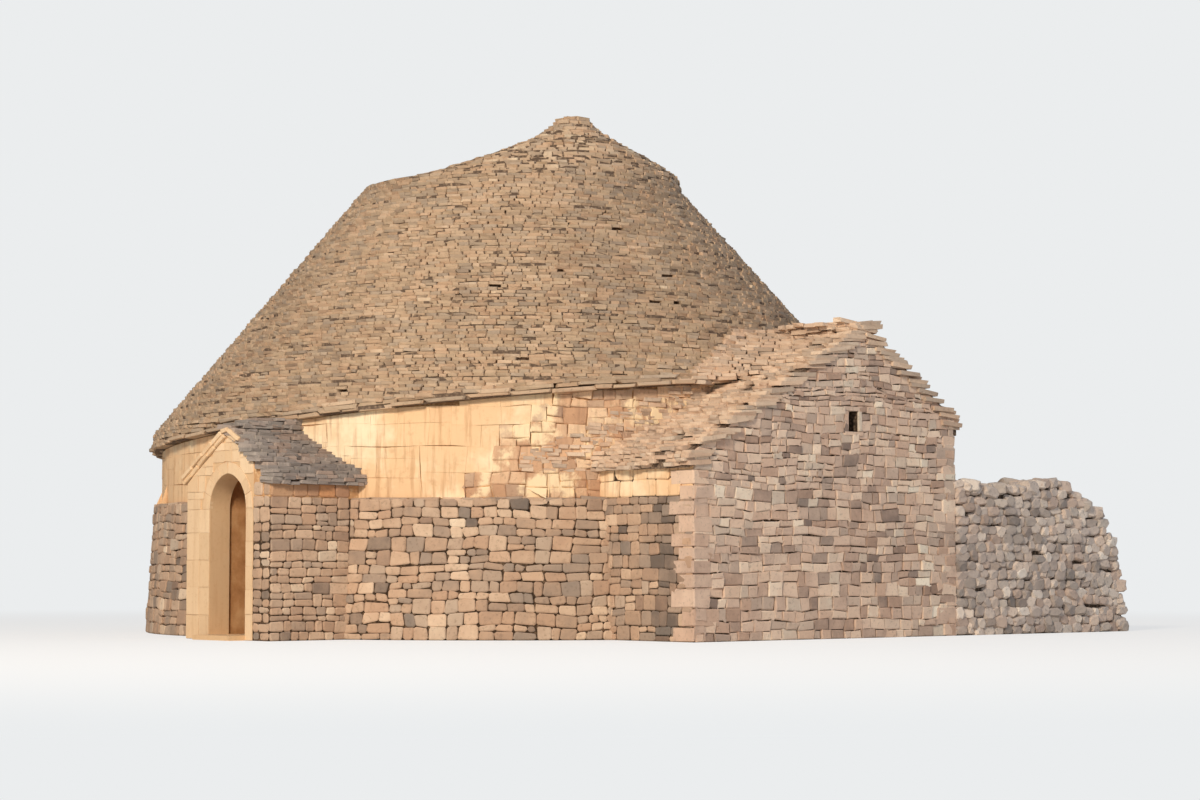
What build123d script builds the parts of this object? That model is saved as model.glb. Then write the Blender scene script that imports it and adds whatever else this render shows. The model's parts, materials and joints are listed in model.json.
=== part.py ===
from build123d import *
from math import atan2, ceil, cos, degrees, hypot, pi, radians, sin, sqrt
import os

# Trullo house: a round dry-stone room under a corbelled vault with an outer cone of thin
# limestone slabs, a small gabled entrance porch and a lower gabled annex.
# Own frame: origin on the ground at the centre of the drum, +Z up, the porch looks along -X
# and the annex gable looks along -Y. All lengths are in millimetres.

# Drum wall
DRUM_RADIUS = 5030
ROOM_RADIUS = 3400
IMPOST_HEIGHT = 2100
PLINTH_HEIGHT = 1790
PLINTH_PROUD = 90
PLINTH_BATTER = 110
FLOOR_THICKNESS = 60

# Outer cone of slabs; its foot stands a little off the drum's centre, which tilts the eave,
# and its upper courses lean back towards the left
CONE_AXIS_X = 174
CONE_AXIS_Y = -243
CONE_LEAN = 140
CONE_GROWTH = 0.86
SHOULDER_RADIUS = 2325
SHOULDER_HEIGHT = 6400
COVERING_DROP = 450
COVERING_COURSE = 180
EAVE_OVERHANG = 120
EAVE_THICKNESS = 140
EAVE_TILT = 1.3
GORE_COUNT = 6
HAUNCH_COUNT = 8
CAP_SEAT_RADIUS = 1900

# Low cap above the shoulder: rise, radius and shift of the centre towards the front right
CAP_FOOT_SETBACK = 95
CAP_FOOT_SHIFT = -50
CAP_SECTIONS = ((180, 2020, -20), (480, 1290, 335), (790, 640, 550), (1000, 260, 600))
CAP_COURSES = 18
CAP_SHIFT_ANGLE = -40
TOP_STONE_HEIGHT = 110
TOP_STONE_ROUNDING = 70

# Inner corbelled vault: rings of flat stones, each stepping inwards over the one below
CROWN_FILL_DEPTH = 50
VAULT_TOP_RADIUS = 380
VAULT_COURSES = 18
VAULT_THICKNESS = 300
VAULT_FULLNESS = 0.82
VAULT_TIERS = 3
CLOSING_SLAB_RADIUS = 620
CLOSING_SLAB_THICKNESS = 140

# Porch
PORCH_PROJECTION = 820
PORCH_CENTRE = -1370
PORCH_HALF_WIDTH = 930
PORCH_RISE = 620
PORCH_PITCH = 0.66
PORCH_SLABS = 110
PORCH_EAVE_LAP = 60
PASSAGE_WIDTH = 900
PORTAL_DEPTH = 300
PORTAL_RIGHT_WIDTH = 570
PORTAL_OPENING = 820
ARCH_RISE = 450
ARCH_HEADROOM = 10
ARCH_RING = 150
COPING_THICKNESS = 130
COPING_PROUD = 50
THRESHOLD_HEIGHT = 60
THRESHOLD_STEP = 250

# Annex
ANNEX_PROJECTION = 1150
ANNEX_LEFT = -2280
ANNEX_RIGHT = 2600
ANNEX_WALL = 550
ANNEX_EAVE_RISE = 280
ANNEX_RIGHT_EAVE_RISE = 570
ANNEX_RIDGE_X = 850
ANNEX_RIDGE_RISE = 1690
ANNEX_SLABS = 200
ANNEX_EAVE_LAP = 80
RIDGE_STONE_WIDTH = 460
RIDGE_STONE_RISE = 60
ALCOVE_CENTRE = 600
ALCOVE_WIDTH = 1900
ALCOVE_RISE = 1100
VENT_LEFT = 510
VENT_WIDTH = 190
VENT_SILL_RISE = 580
VENT_HEIGHT = 270

# Low rubble wall that runs on from the annex
RUBBLE_THICKNESS = 600
RUBBLE_OUTLINE = ((6350, 0), (6140, 1060), (5790, 1710), (4800, 2100), (3700, 1960), (2600, 2080))

EAVE_RADIUS = DRUM_RADIUS + EAVE_OVERHANG
EAVE_UNDERSIDE = SHOULDER_HEIGHT - (EAVE_RADIUS - SHOULDER_RADIUS) / CONE_GROWTH - EAVE_THICKNESS
VAULT_TOP = SHOULDER_HEIGHT - COVERING_DROP - CROWN_FILL_DEPTH
PORCH_FRONT = -DRUM_RADIUS - PORCH_PROJECTION
ANNEX_FRONT = -DRUM_RADIUS - ANNEX_PROJECTION

# Heights that follow the springing of the vault
PORCH_RIDGE = IMPOST_HEIGHT + PORCH_RISE
ARCH_CROWN = IMPOST_HEIGHT + ARCH_HEADROOM
ARCH_SPRING = ARCH_CROWN - ARCH_RISE
ANNEX_LEFT_EAVE = IMPOST_HEIGHT + ANNEX_EAVE_RISE
ANNEX_RIGHT_EAVE = ANNEX_LEFT_EAVE + ANNEX_RIGHT_EAVE_RISE
ANNEX_RIDGE = ANNEX_LEFT_EAVE + ANNEX_RIDGE_RISE
ALCOVE_CROWN = IMPOST_HEIGHT + ALCOVE_RISE
VENT_RIGHT = VENT_LEFT + VENT_WIDTH
VENT_SILL = IMPOST_HEIGHT + VENT_SILL_RISE
VENT_HEAD = VENT_SILL + VENT_HEIGHT

# Reaches past every other form, for cutting blocks
REACH = 2 * (EAVE_RADIUS + SHOULDER_HEIGHT)

CAP_SHIFT_X = cos(radians(CAP_SHIFT_ANGLE))
CAP_SHIFT_Y = sin(radians(CAP_SHIFT_ANGLE))
PASSAGE_LEFT = PORCH_CENTRE + PASSAGE_WIDTH / 2
PASSAGE_RIGHT = PORCH_CENTRE - PASSAGE_WIDTH / 2
ALCOVE_LEFT = ALCOVE_CENTRE - ALCOVE_WIDTH / 2
ALCOVE_RIGHT = ALCOVE_CENTRE + ALCOVE_WIDTH / 2
ANNEX_BACK_OF_GABLE = ANNEX_FRONT + ANNEX_WALL


def prism(points, direction, length):
    """Extrude the closed polygon through 3-D points."""
    outline = Polyline(*points, close=True)
    return extrude(make_face(outline.edges()), amount=length, dir=direction)


def prism_along_x(points, x_low, x_high):
    return prism([(x_low, y, z) for y, z in points], (1, 0, 0), x_high - x_low)


def prism_along_y(points, y_low, y_high):
    return prism([(x, y_low, z) for x, z in points], (0, 1, 0), y_high - y_low)


def prism_along_z(points, z_low, z_high):
    return prism([(x, y, z_low) for x, y in points], (0, 0, 1), z_high - z_low)


def block(x_low, x_high, y_low, y_high, z_low, z_high):
    points = [(x_low, y_low), (x_high, y_low), (x_high, y_high), (x_low, y_high)]
    return prism_along_z(points, z_low, z_high)


def turned(points, centre=(0, 0)):
    """Revolve the polygon of (radius, height) points about an upright axis."""
    outline = Polyline(*[(r, 0, z) for r, z in points], close=True)
    solid = revolve(make_face(outline.edges()), Axis.Z, 360)
    return Pos(centre[0], centre[1], 0) * solid


def main_piece(shape):
    """A boolean can leave slivers beside the piece that is meant."""
    return max(shape.solids(), key=lambda solid: solid.volume)


def trimmed(solid, masses):
    """Cut away what would run into the masses that the solid stands against."""
    for mass in masses:
        solid = solid - mass
    return main_piece(solid)


def wedge(start, end, centre=(0, 0)):
    """An upright sector from one angle to another, wider than the house."""
    middle = (start + end) / 2
    corners = [centre]
    for angle in (start, middle, end):
        x = centre[0] + REACH * cos(radians(angle))
        y = centre[1] + REACH * sin(radians(angle))
        corners.append((x, y))
    return prism_along_z(corners, 0, REACH)


def cone_radius(height):
    """Radius of the outer cone at a height, about its own axis."""
    return SHOULDER_RADIUS + CONE_GROWTH * (SHOULDER_HEIGHT - height)


def vault_radius(height):
    """Inner radius of the corbelled vault: steep at the foot, closing in towards the top."""
    share = (VAULT_TOP - height) / (VAULT_TOP - IMPOST_HEIGHT)
    return VAULT_TOP_RADIUS + (ROOM_RADIUS - VAULT_TOP_RADIUS) * share ** VAULT_FULLNESS


def cone_axis():
    return (CONE_AXIS_X, CONE_AXIS_Y)


def course_centre(height):
    """Centre of an outer course; the higher the course, the more it leans to the left."""
    lean = CONE_LEAN * (height - IMPOST_HEIGHT) / (SHOULDER_HEIGHT - IMPOST_HEIGHT)
    return CONE_AXIS_X - lean * CAP_SHIFT_X, CONE_AXIS_Y - lean * CAP_SHIFT_Y


def stepped_cone():
    """The slab covering's outside: each course is set back from the one below."""
    courses = []
    top = SHOULDER_HEIGHT
    while top > IMPOST_HEIGHT:
        x, y = course_centre(top)
        outline = Pos(x, y, top - COVERING_COURSE) * Circle(cone_radius(top))
        courses.append(extrude(outline, amount=COVERING_COURSE))
        top -= COVERING_COURSE
    return main_piece(courses[0].fuse(*courses[1:]))


def plain_cone(drop):
    """The smooth cone at the given depth under the covering's surface."""
    low = IMPOST_HEIGHT - COVERING_COURSE
    points = [(0, low), (cone_radius(low + drop), low)]
    points += [(SHOULDER_RADIUS, SHOULDER_HEIGHT - drop), (0, SHOULDER_HEIGHT - drop)]
    return turned(points, cone_axis())


def below_eave():
    """Everything under the tilted plane on which the lowest course of slabs lies."""
    slope = EAVE_TILT / (EAVE_RADIUS * CONE_GROWTH)

    def height(x, y):
        return EAVE_UNDERSIDE + slope * (CONE_AXIS_X * x + CONE_AXIS_Y * y)

    tilt_direction = (CONE_AXIS_X, CONE_AXIS_Y)
    length = hypot(*tilt_direction)
    ux, uy = tilt_direction[0] / length, tilt_direction[1] / length
    near, far = -REACH, REACH
    corners = []
    for along, is_top in ((near, True), (far, True), (far, False), (near, False)):
        x = along * ux + REACH * uy
        y = along * uy - REACH * ux
        z = height(along * ux, along * uy) if is_top else -REACH
        corners.append((x, y, z))
    return prism(corners, (-uy, ux, 0), 2 * REACH)


def covering_mass():
    """Roof covering of slabs as one ring, before it is parted into gores."""
    rim = turned([(0, 0), (EAVE_RADIUS, 0), (EAVE_RADIUS, SHOULDER_HEIGHT), (0, SHOULDER_HEIGHT)])
    core_top = SHOULDER_HEIGHT + COVERING_COURSE
    core_low = SHOULDER_HEIGHT - COVERING_DROP - COVERING_COURSE
    core = turned([(0, core_low), (CAP_SEAT_RADIUS, core_low), (CAP_SEAT_RADIUS, core_top),
                   (0, core_top)], cone_axis())
    return (stepped_cone() & rim) - plain_cone(COVERING_DROP) - core - below_eave()


def roof_gores(covering):
    step = 360 / GORE_COUNT
    gores = {}
    for number in range(GORE_COUNT):
        sector = wedge(number * step, (number + 1) * step, cone_axis())
        gores[f"roof_covering_{number + 1}"] = main_piece(covering & sector)
    return gores


def cap_circle(rise, radius, shift):
    x = CONE_AXIS_X + shift * CAP_SHIFT_X
    y = CONE_AXIS_Y + shift * CAP_SHIFT_Y
    return Pos(x, y, SHOULDER_HEIGHT + rise) * Circle(radius)


def cap_section(rise):
    """Radius and shift of the cap's outline at a rise over the shoulder."""
    sections = ((0, SHOULDER_RADIUS - CAP_FOOT_SETBACK, CAP_FOOT_SHIFT),) + CAP_SECTIONS
    for (low, low_radius, low_shift), (high, radius, shift) in zip(sections, sections[1:]):
        if rise <= high:
            share = (rise - low) / (high - low)
            return low_radius + share * (radius - low_radius), low_shift + share * (shift - low_shift)


def roof_cap():
    """Flatter upper part of the roof in courses, with its peak shifted to the front right."""
    course = CAP_SECTIONS[-1][0] / CAP_COURSES
    courses = []
    for number in range(CAP_COURSES):
        radius, shift = cap_section((number + 0.5) * course)
        courses.append(extrude(cap_circle(number * course, radius, shift), amount=course))
    return main_piece(courses[0].fuse(*courses[1:]))


def top_stone():
    """Rounded stone that closes the outer cone."""
    stone = extrude(cap_circle(*CAP_SECTIONS[-1]), amount=TOP_STONE_HEIGHT)
    upper_edge = stone.edges().group_by(Axis.Z)[-1]
    return main_piece(fillet(upper_edge, TOP_STONE_ROUNDING))


def crown_fill():
    """Rubble between the top of the inner vault and the cap."""
    mass = plain_cone(COVERING_DROP)
    seat_top = SHOULDER_HEIGHT
    low = SHOULDER_HEIGHT - COVERING_DROP
    neck = turned([(0, VAULT_TOP), (CAP_SEAT_RADIUS, VAULT_TOP), (CAP_SEAT_RADIUS, seat_top),
                   (0, seat_top)], cone_axis())
    upper = block(-REACH, REACH, -REACH, REACH, VAULT_TOP, low)
    return main_piece((mass & upper) + neck - closing_slab())


def vault_steps():
    """Points of the vault's stepped inner side."""
    course = (VAULT_TOP - IMPOST_HEIGHT) / VAULT_COURSES
    points = []
    for number in range(VAULT_COURSES):
        low = IMPOST_HEIGHT + number * course
        radius = vault_radius(low)
        points.append((radius, low))
        points.append((radius, low + course))
    return points


def vault_back():
    """The vault's smooth outer side, against which the haunches stand."""
    course = (VAULT_TOP - IMPOST_HEIGHT) / VAULT_COURSES
    points = [(0, IMPOST_HEIGHT)]
    for number in range(0, VAULT_COURSES + 1, VAULT_TIERS):
        height = IMPOST_HEIGHT + number * course
        points.append((vault_radius(height) + VAULT_THICKNESS, height))
    points.append((0, VAULT_TOP))
    return turned(points)


def vault_tiers():
    """The corbelled vault, parted by height into rings of six courses each."""
    hollow = turned([(0, IMPOST_HEIGHT)] + vault_steps() + [(0, VAULT_TOP)])
    shell = vault_back() - hollow
    tier_height = (VAULT_TOP - IMPOST_HEIGHT) / VAULT_TIERS
    tiers = {}
    for number, name in enumerate(("lower", "middle", "upper")):
        low = IMPOST_HEIGHT + number * tier_height
        band = block(-REACH, REACH, -REACH, REACH, low, low + tier_height)
        tiers[f"vault_{name}_ring"] = main_piece(shell & band)
    return tiers


def closing_slab():
    """Flat slab over the hole that the last ring of the vault leaves."""
    top = VAULT_TOP + CLOSING_SLAB_THICKNESS
    return main_piece(turned([(0, VAULT_TOP), (CLOSING_SLAB_RADIUS, VAULT_TOP),
                              (CLOSING_SLAB_RADIUS, top), (0, top)]))


def passage_block():
    """Straight way in through the porch and the drum wall."""
    return block(-REACH, 0, PASSAGE_RIGHT, PASSAGE_LEFT, 0, IMPOST_HEIGHT)


def alcove_block():
    """Straight recess from the room through the drum wall into the annex."""
    return block(ALCOVE_LEFT, ALCOVE_RIGHT, ANNEX_BACK_OF_GABLE, 0, 0, IMPOST_HEIGHT)


def drum_ring():
    """Lower drum wall with its battered plinth, a ledge and the upper face set back."""
    foot = DRUM_RADIUS + PLINTH_PROUD + PLINTH_BATTER
    ledge = DRUM_RADIUS + PLINTH_PROUD
    return turned([(ROOM_RADIUS, 0), (foot, 0), (ledge, PLINTH_HEIGHT),
                   (DRUM_RADIUS, PLINTH_HEIGHT), (DRUM_RADIUS, IMPOST_HEIGHT),
                   (ROOM_RADIUS, IMPOST_HEIGHT)])


def drum_segments():
    """The round wall, parted beside the doorway and beside the alcove."""
    wall_middle = (DRUM_RADIUS + ROOM_RADIUS) / 2
    door_angle = 180 - degrees(atan2(PORCH_CENTRE, wall_middle))
    alcove_angle = 270 + degrees(atan2(ALCOVE_CENTRE, wall_middle))
    front_middle = (door_angle + alcove_angle) / 2
    names = ["front_wall_left", "front_wall_right", "right_wall_front", "right_wall_back",
             "back_wall_right", "back_wall_left", "left_wall_back", "left_wall_front"]
    turns = [door_angle, front_middle, alcove_angle]
    rest = door_angle + 360 - alcove_angle
    count = len(names) - 2
    turns += [alcove_angle + rest * (number + 1) / count for number in range(count)]
    ring = drum_ring() - passage_block() - alcove_block()
    return {name: main_piece(ring & wedge(turns[i], turns[i + 1])) for i, name in enumerate(names)}


def haunches(covering):
    """Rubble masonry behind the vault, plastered outside, that carries the slab covering."""
    drum = turned([(0, IMPOST_HEIGHT), (DRUM_RADIUS, IMPOST_HEIGHT), (DRUM_RADIUS, VAULT_TOP),
                   (0, VAULT_TOP)])
    mass = (drum & plain_cone(0)) - covering - vault_back()
    above_covering = plain_cone(0) - plain_cone(COVERING_DROP) - below_eave()
    mass = mass - above_covering
    step = 360 / HAUNCH_COUNT
    names = ["right_haunch_back", "back_haunch_right", "back_haunch_left", "left_haunch_back",
             "left_haunch_front", "front_haunch_left", "front_haunch_right", "right_haunch_front"]
    result = {}
    for number, name in enumerate(names):
        sector = wedge(number * step, (number + 1) * step)
        result[name] = main_piece(mass & sector)
    return result


def floor_paving():
    """Stone paving of the round room, the way in and the recess."""
    room = turned([(0, 0), (ROOM_RADIUS, 0), (ROOM_RADIUS, FLOOR_THICKNESS), (0, FLOOR_THICKNESS)])
    way_in = block(PORCH_FRONT + PORTAL_DEPTH, 0, PASSAGE_RIGHT, PASSAGE_LEFT, 0, FLOOR_THICKNESS)
    recess = block(ALCOVE_LEFT, ALCOVE_RIGHT, ANNEX_BACK_OF_GABLE, 0, 0, FLOOR_THICKNESS)
    return main_piece(room + way_in + recess)


def porch_roof_height(y):
    return PORCH_RIDGE - PORCH_PITCH * abs(y - PORCH_CENTRE)


def porch_under_height(y):
    return porch_roof_height(y) - PORCH_SLABS


def solid_drum():
    """The drum wall's outside as a solid mass, to trim what stands against it."""
    foot = DRUM_RADIUS + PLINTH_PROUD + PLINTH_BATTER
    ledge = DRUM_RADIUS + PLINTH_PROUD
    return turned([(0, 0), (foot, 0), (ledge, PLINTH_HEIGHT), (DRUM_RADIUS, PLINTH_HEIGHT),
                   (DRUM_RADIUS, SHOULDER_HEIGHT), (0, SHOULDER_HEIGHT)])


def porch_wall(y_inner, y_outer, x_low, masses):
    """Side wall of the porch up to the underside of its slabs."""
    points = [(y_inner, 0), (y_outer, 0), (y_outer, porch_under_height(y_outer)),
              (y_inner, porch_under_height(y_inner))]
    return trimmed(prism_along_x(points, x_low, 0), masses)


def porch_right_wall(masses):
    """The right side wall runs forward to the front, where it is flush with the portal."""
    outer = PORCH_CENTRE - PORCH_HALF_WIDTH
    wall = porch_wall(PASSAGE_RIGHT, outer, PORCH_FRONT + PORTAL_DEPTH, masses)
    end = porch_wall(PORCH_CENTRE - PORTAL_RIGHT_WIDTH, outer, PORCH_FRONT, masses)
    return main_piece(wall + end)


def porch_ceiling(masses):
    """Stones that span the way in between the side walls."""
    points = [(PASSAGE_RIGHT, IMPOST_HEIGHT), (PASSAGE_LEFT, IMPOST_HEIGHT),
              (PASSAGE_LEFT, porch_under_height(PASSAGE_LEFT)),
              (PORCH_CENTRE, porch_under_height(PORCH_CENTRE)),
              (PASSAGE_RIGHT, porch_under_height(PASSAGE_RIGHT))]
    return trimmed(prism_along_x(points, PORCH_FRONT + PORTAL_DEPTH, 0), masses)


def porch_slope(side, masses):
    """One slope of the porch roof; side is +1 for the left one and -1 for the right one."""
    eave = PORCH_CENTRE + side * (PORCH_HALF_WIDTH + PORCH_EAVE_LAP)
    points = [(PORCH_CENTRE, porch_under_height(PORCH_CENTRE)), (eave, porch_under_height(eave)),
              (eave, porch_roof_height(eave)), (PORCH_CENTRE, PORCH_RIDGE)]
    return trimmed(prism_along_x(points, PORCH_FRONT + PORTAL_DEPTH, 0), masses)


def arch_face(extra):
    """Half outline of the pointed arch, enlarged by extra, on the left of the centre line."""
    half = PORTAL_OPENING / 2
    rise = ARCH_CROWN - ARCH_SPRING
    radius = (half ** 2 + rise ** 2) / (2 * half)
    outer = radius + extra
    crown = sqrt(outer ** 2 - (radius - half) ** 2)
    middle_angle = atan2(crown, radius - half) / 2
    centre_y = half - radius
    spring = (centre_y + outer, 0)
    middle = (centre_y + outer * cos(middle_angle), outer * sin(middle_angle))
    top = (0, crown)
    return spring, middle, top


def half_arch(extra, side):
    """Solid under one half of the pointed arch, down to the springing."""
    x = PORCH_FRONT

    def place(point):
        return (x, PORCH_CENTRE + side * point[0], ARCH_SPRING + point[1])

    spring, middle, top = (place(point) for point in arch_face(extra))
    centre = place((0, 0))
    edges = [ThreePointArc(spring, middle, top), Line(top, centre), Line(centre, spring)]
    return extrude(make_face(edges), amount=PORTAL_DEPTH, dir=(1, 0, 0))


def portal_arch(side):
    return main_piece(half_arch(ARCH_RING, side) - half_arch(0, side))


def portal_top(y):
    """Top of the portal's masonry, under the coping."""
    return porch_roof_height(y) - PORCH_SLABS


def portal_jamb(side, outer):
    inner = PORCH_CENTRE + side * PORTAL_OPENING / 2
    edge = PORCH_CENTRE + side * outer
    points = [(inner, 0), (edge, 0), (edge, ARCH_SPRING), (inner, ARCH_SPRING)]
    return main_piece(prism_along_x(points, PORCH_FRONT, PORCH_FRONT + PORTAL_DEPTH))


def portal_gable(side, outer):
    """Masonry above the springing, beside and over one half of the arch."""
    edge = PORCH_CENTRE + side * outer
    points = [(PORCH_CENTRE, ARCH_SPRING), (edge, ARCH_SPRING), (edge, portal_top(edge)),
              (PORCH_CENTRE, portal_top(PORCH_CENTRE))]
    face = prism_along_x(points, PORCH_FRONT, PORCH_FRONT + PORTAL_DEPTH)
    return main_piece(face - half_arch(ARCH_RING, side))


def coping(side):
    """Raking coping stones of the porch gable with a kneeler at the foot."""
    foot = PORCH_CENTRE + side * (PORCH_HALF_WIDTH + PORCH_EAVE_LAP)
    points = [(PORCH_CENTRE, portal_top(PORCH_CENTRE)), (foot, portal_top(foot)),
              (foot, portal_top(foot) + COPING_THICKNESS),
              (PORCH_CENTRE, portal_top(PORCH_CENTRE) + COPING_THICKNESS)]
    return main_piece(prism_along_x(points, PORCH_FRONT - COPING_PROUD, PORCH_FRONT + PORTAL_DEPTH))


def threshold():
    """Worn stone sill between the portal's jambs."""
    half = PORTAL_OPENING / 2
    return main_piece(block(PORCH_FRONT - THRESHOLD_STEP, PORCH_FRONT + PORTAL_DEPTH,
                            PORCH_CENTRE - half, PORCH_CENTRE + half, 0, THRESHOLD_HEIGHT))


def annex_top(x):
    """Upper face of the annex roof."""
    if x < ANNEX_RIDGE_X:
        run = (x - ANNEX_LEFT) / (ANNEX_RIDGE_X - ANNEX_LEFT)
        return ANNEX_LEFT_EAVE + run * (ANNEX_RIDGE - ANNEX_LEFT_EAVE)
    run = (ANNEX_RIGHT - x) / (ANNEX_RIGHT - ANNEX_RIDGE_X)
    return ANNEX_RIGHT_EAVE + run * (ANNEX_RIDGE - ANNEX_RIGHT_EAVE)


def annex_under(x):
    return annex_top(x) - ANNEX_SLABS


def annex_gable():
    """Gable wall with the small vent cut through."""
    points = [(ANNEX_LEFT, 0), (ANNEX_RIGHT, 0), (ANNEX_RIGHT, annex_under(ANNEX_RIGHT)),
              (ANNEX_RIDGE_X, annex_under(ANNEX_RIDGE_X)), (ANNEX_LEFT, annex_under(ANNEX_LEFT))]
    wall = prism_along_y(points, ANNEX_FRONT, ANNEX_BACK_OF_GABLE)
    vent = block(VENT_LEFT, VENT_RIGHT, ANNEX_FRONT - ANNEX_WALL, ANNEX_BACK_OF_GABLE + ANNEX_WALL,
                 VENT_SILL, VENT_HEAD)
    return main_piece(wall - vent)


def annex_side_wall(x_outer, x_inner, masses):
    """Thick side wall between the gable and the drum, up to the springing of the recess."""
    points = [(x_outer, 0), (x_inner, 0), (x_inner, IMPOST_HEIGHT), (x_outer, IMPOST_HEIGHT)]
    top = annex_under(x_outer)
    if top < IMPOST_HEIGHT:
        shoulder = x_outer + (IMPOST_HEIGHT - top) / annex_slope_left()
        points = [(x_outer, 0), (x_inner, 0), (x_inner, IMPOST_HEIGHT), (shoulder, IMPOST_HEIGHT),
                  (x_outer, top)]
    return trimmed(prism_along_y(points, ANNEX_BACK_OF_GABLE, 0), masses)


def annex_slope_left():
    return (ANNEX_RIDGE - ANNEX_LEFT_EAVE) / (ANNEX_RIDGE_X - ANNEX_LEFT)


def annex_haunch(x_outer, x_inner, masses):
    """Masonry over a side wall, leaning in to close the pitched recess behind the vent."""
    under_outer = annex_under(x_outer)
    points = [(x_inner, IMPOST_HEIGHT), (ALCOVE_CENTRE, ALCOVE_CROWN)]
    points.append((ALCOVE_CENTRE, annex_under(ALCOVE_CENTRE)))
    if x_outer > ALCOVE_CENTRE:
        points.append((ANNEX_RIDGE_X, annex_under(ANNEX_RIDGE_X)))
    if under_outer > IMPOST_HEIGHT:
        points += [(x_outer, under_outer), (x_outer, IMPOST_HEIGHT)]
    else:
        points.append((x_outer + (IMPOST_HEIGHT - under_outer) / annex_slope_left(), IMPOST_HEIGHT))
    return trimmed(prism_along_y(points, ANNEX_BACK_OF_GABLE, 0), masses)


def annex_slope(side, masses):
    """One slope of the annex roof, lying on the gable, the walls and the main roof."""
    if side < 0:
        eave = ANNEX_LEFT - ANNEX_EAVE_LAP
        eave_top = ANNEX_LEFT_EAVE - ANNEX_EAVE_LAP * annex_slope_left()
    else:
        slope = (ANNEX_RIDGE - ANNEX_RIGHT_EAVE) / (ANNEX_RIGHT - ANNEX_RIDGE_X)
        eave = ANNEX_RIGHT + ANNEX_EAVE_LAP
        eave_top = ANNEX_RIGHT_EAVE - ANNEX_EAVE_LAP * slope
    points = [(ANNEX_RIDGE_X, ANNEX_RIDGE), (eave, eave_top), (eave, eave_top - ANNEX_SLABS),
              (ANNEX_RIDGE_X, ANNEX_RIDGE - ANNEX_SLABS)]
    return trimmed(prism_along_y(points, ANNEX_FRONT, 0), masses)


def annex_ridge(masses):
    """Row of flat stones along the annex ridge."""
    left = ANNEX_RIDGE_X - RIDGE_STONE_WIDTH / 2
    right = ANNEX_RIDGE_X + RIDGE_STONE_WIDTH / 2
    points = [(left, annex_top(left)), (ANNEX_RIDGE_X, ANNEX_RIDGE), (right, annex_top(right)),
              (ANNEX_RIDGE_X + RIDGE_STONE_WIDTH / 4, ANNEX_RIDGE + RIDGE_STONE_RISE),
              (ANNEX_RIDGE_X - RIDGE_STONE_WIDTH / 4, ANNEX_RIDGE + RIDGE_STONE_RISE)]
    return trimmed(prism_along_y(points, ANNEX_FRONT, 0), masses)


def rubble_wall():
    """Low dry-stone wall that runs on from the annex's right corner, its end falling away."""
    points = [(ANNEX_RIGHT, 0)] + list(RUBBLE_OUTLINE)
    return main_piece(prism_along_y(points, ANNEX_FRONT, ANNEX_FRONT + RUBBLE_THICKNESS))


def build():
    covering = covering_mass()
    drum = solid_drum()
    roof_mass = stepped_cone() - below_eave()
    rim = turned([(0, 0), (EAVE_RADIUS, 0), (EAVE_RADIUS, SHOULDER_HEIGHT), (0, SHOULDER_HEIGHT)])
    masses = (drum, roof_mass & rim)
    left, right = 1, -1
    porch_outer_left = PORCH_CENTRE + PORCH_HALF_WIDTH
    behind_portal = PORCH_FRONT + PORTAL_DEPTH
    parts = {}
    parts.update(drum_segments())
    parts.update(haunches(covering))
    parts.update(vault_tiers())
    parts["vault_closing_slab"] = closing_slab()
    parts["crown_fill"] = crown_fill()
    parts.update(roof_gores(covering))
    parts["roof_cap"] = roof_cap()
    parts["roof_top_stone"] = top_stone()
    parts["floor_paving"] = floor_paving()
    parts["porch_left_wall"] = porch_wall(PASSAGE_LEFT, porch_outer_left, behind_portal, masses)
    parts["porch_right_wall"] = porch_right_wall(masses)
    parts["porch_ceiling"] = porch_ceiling(masses)
    parts["porch_roof_left"] = porch_slope(left, masses)
    parts["porch_roof_right"] = porch_slope(right, masses)
    parts["portal_jamb_left"] = portal_jamb(left, PORCH_HALF_WIDTH)
    parts["portal_jamb_right"] = portal_jamb(right, PORTAL_RIGHT_WIDTH)
    parts["portal_arch_left"] = portal_arch(left)
    parts["portal_arch_right"] = portal_arch(right)
    parts["portal_gable_left"] = portal_gable(left, PORCH_HALF_WIDTH)
    parts["portal_gable_right"] = portal_gable(right, PORTAL_RIGHT_WIDTH)
    parts["porch_coping_left"] = coping(left)
    parts["porch_coping_right"] = coping(right)
    parts["threshold"] = threshold()
    parts["annex_gable_wall"] = annex_gable()
    parts["annex_left_wall"] = annex_side_wall(ANNEX_LEFT, ALCOVE_LEFT, masses)
    parts["annex_right_wall"] = annex_side_wall(ANNEX_RIGHT, ALCOVE_RIGHT, masses)
    parts["annex_left_haunch"] = annex_haunch(ANNEX_LEFT, ALCOVE_LEFT, masses)
    parts["annex_right_haunch"] = annex_haunch(ANNEX_RIGHT, ALCOVE_RIGHT, masses)
    parts["annex_roof_left"] = annex_slope(-1, masses)
    parts["annex_roof_right"] = annex_slope(1, masses)
    parts["annex_ridge_stones"] = annex_ridge(masses)
    parts["rubble_wall"] = rubble_wall()
    return parts


os.makedirs("parts", exist_ok=True)
for node, solid in build().items():
    export_step(solid, f"parts/{node}.step")
    box = solid.bounding_box()
    print(node, round(solid.volume / 1e9, 3), [round(v) for v in (*box.min, *box.max)])
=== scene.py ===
# %% [markdown]
# # A trullo, stone by stone
# A trullo is a dry-stone house: nothing but limestone, laid without mortar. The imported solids
# already have its true sizes, so every piece below is placed from them. What they lack is the
# grain of the building: thousands of thin roof slabs, rubble faces and limewashed blocks.
# Two tools make them all: a small Geometry Nodes group that stands a stone on every point of a
# cloud, for the roof, and cut-up flat outlines that are thickened into stones, for the walls.

import bmesh
import bpy
import json
import math
import random
from mathutils import Matrix, Vector, noise

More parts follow.
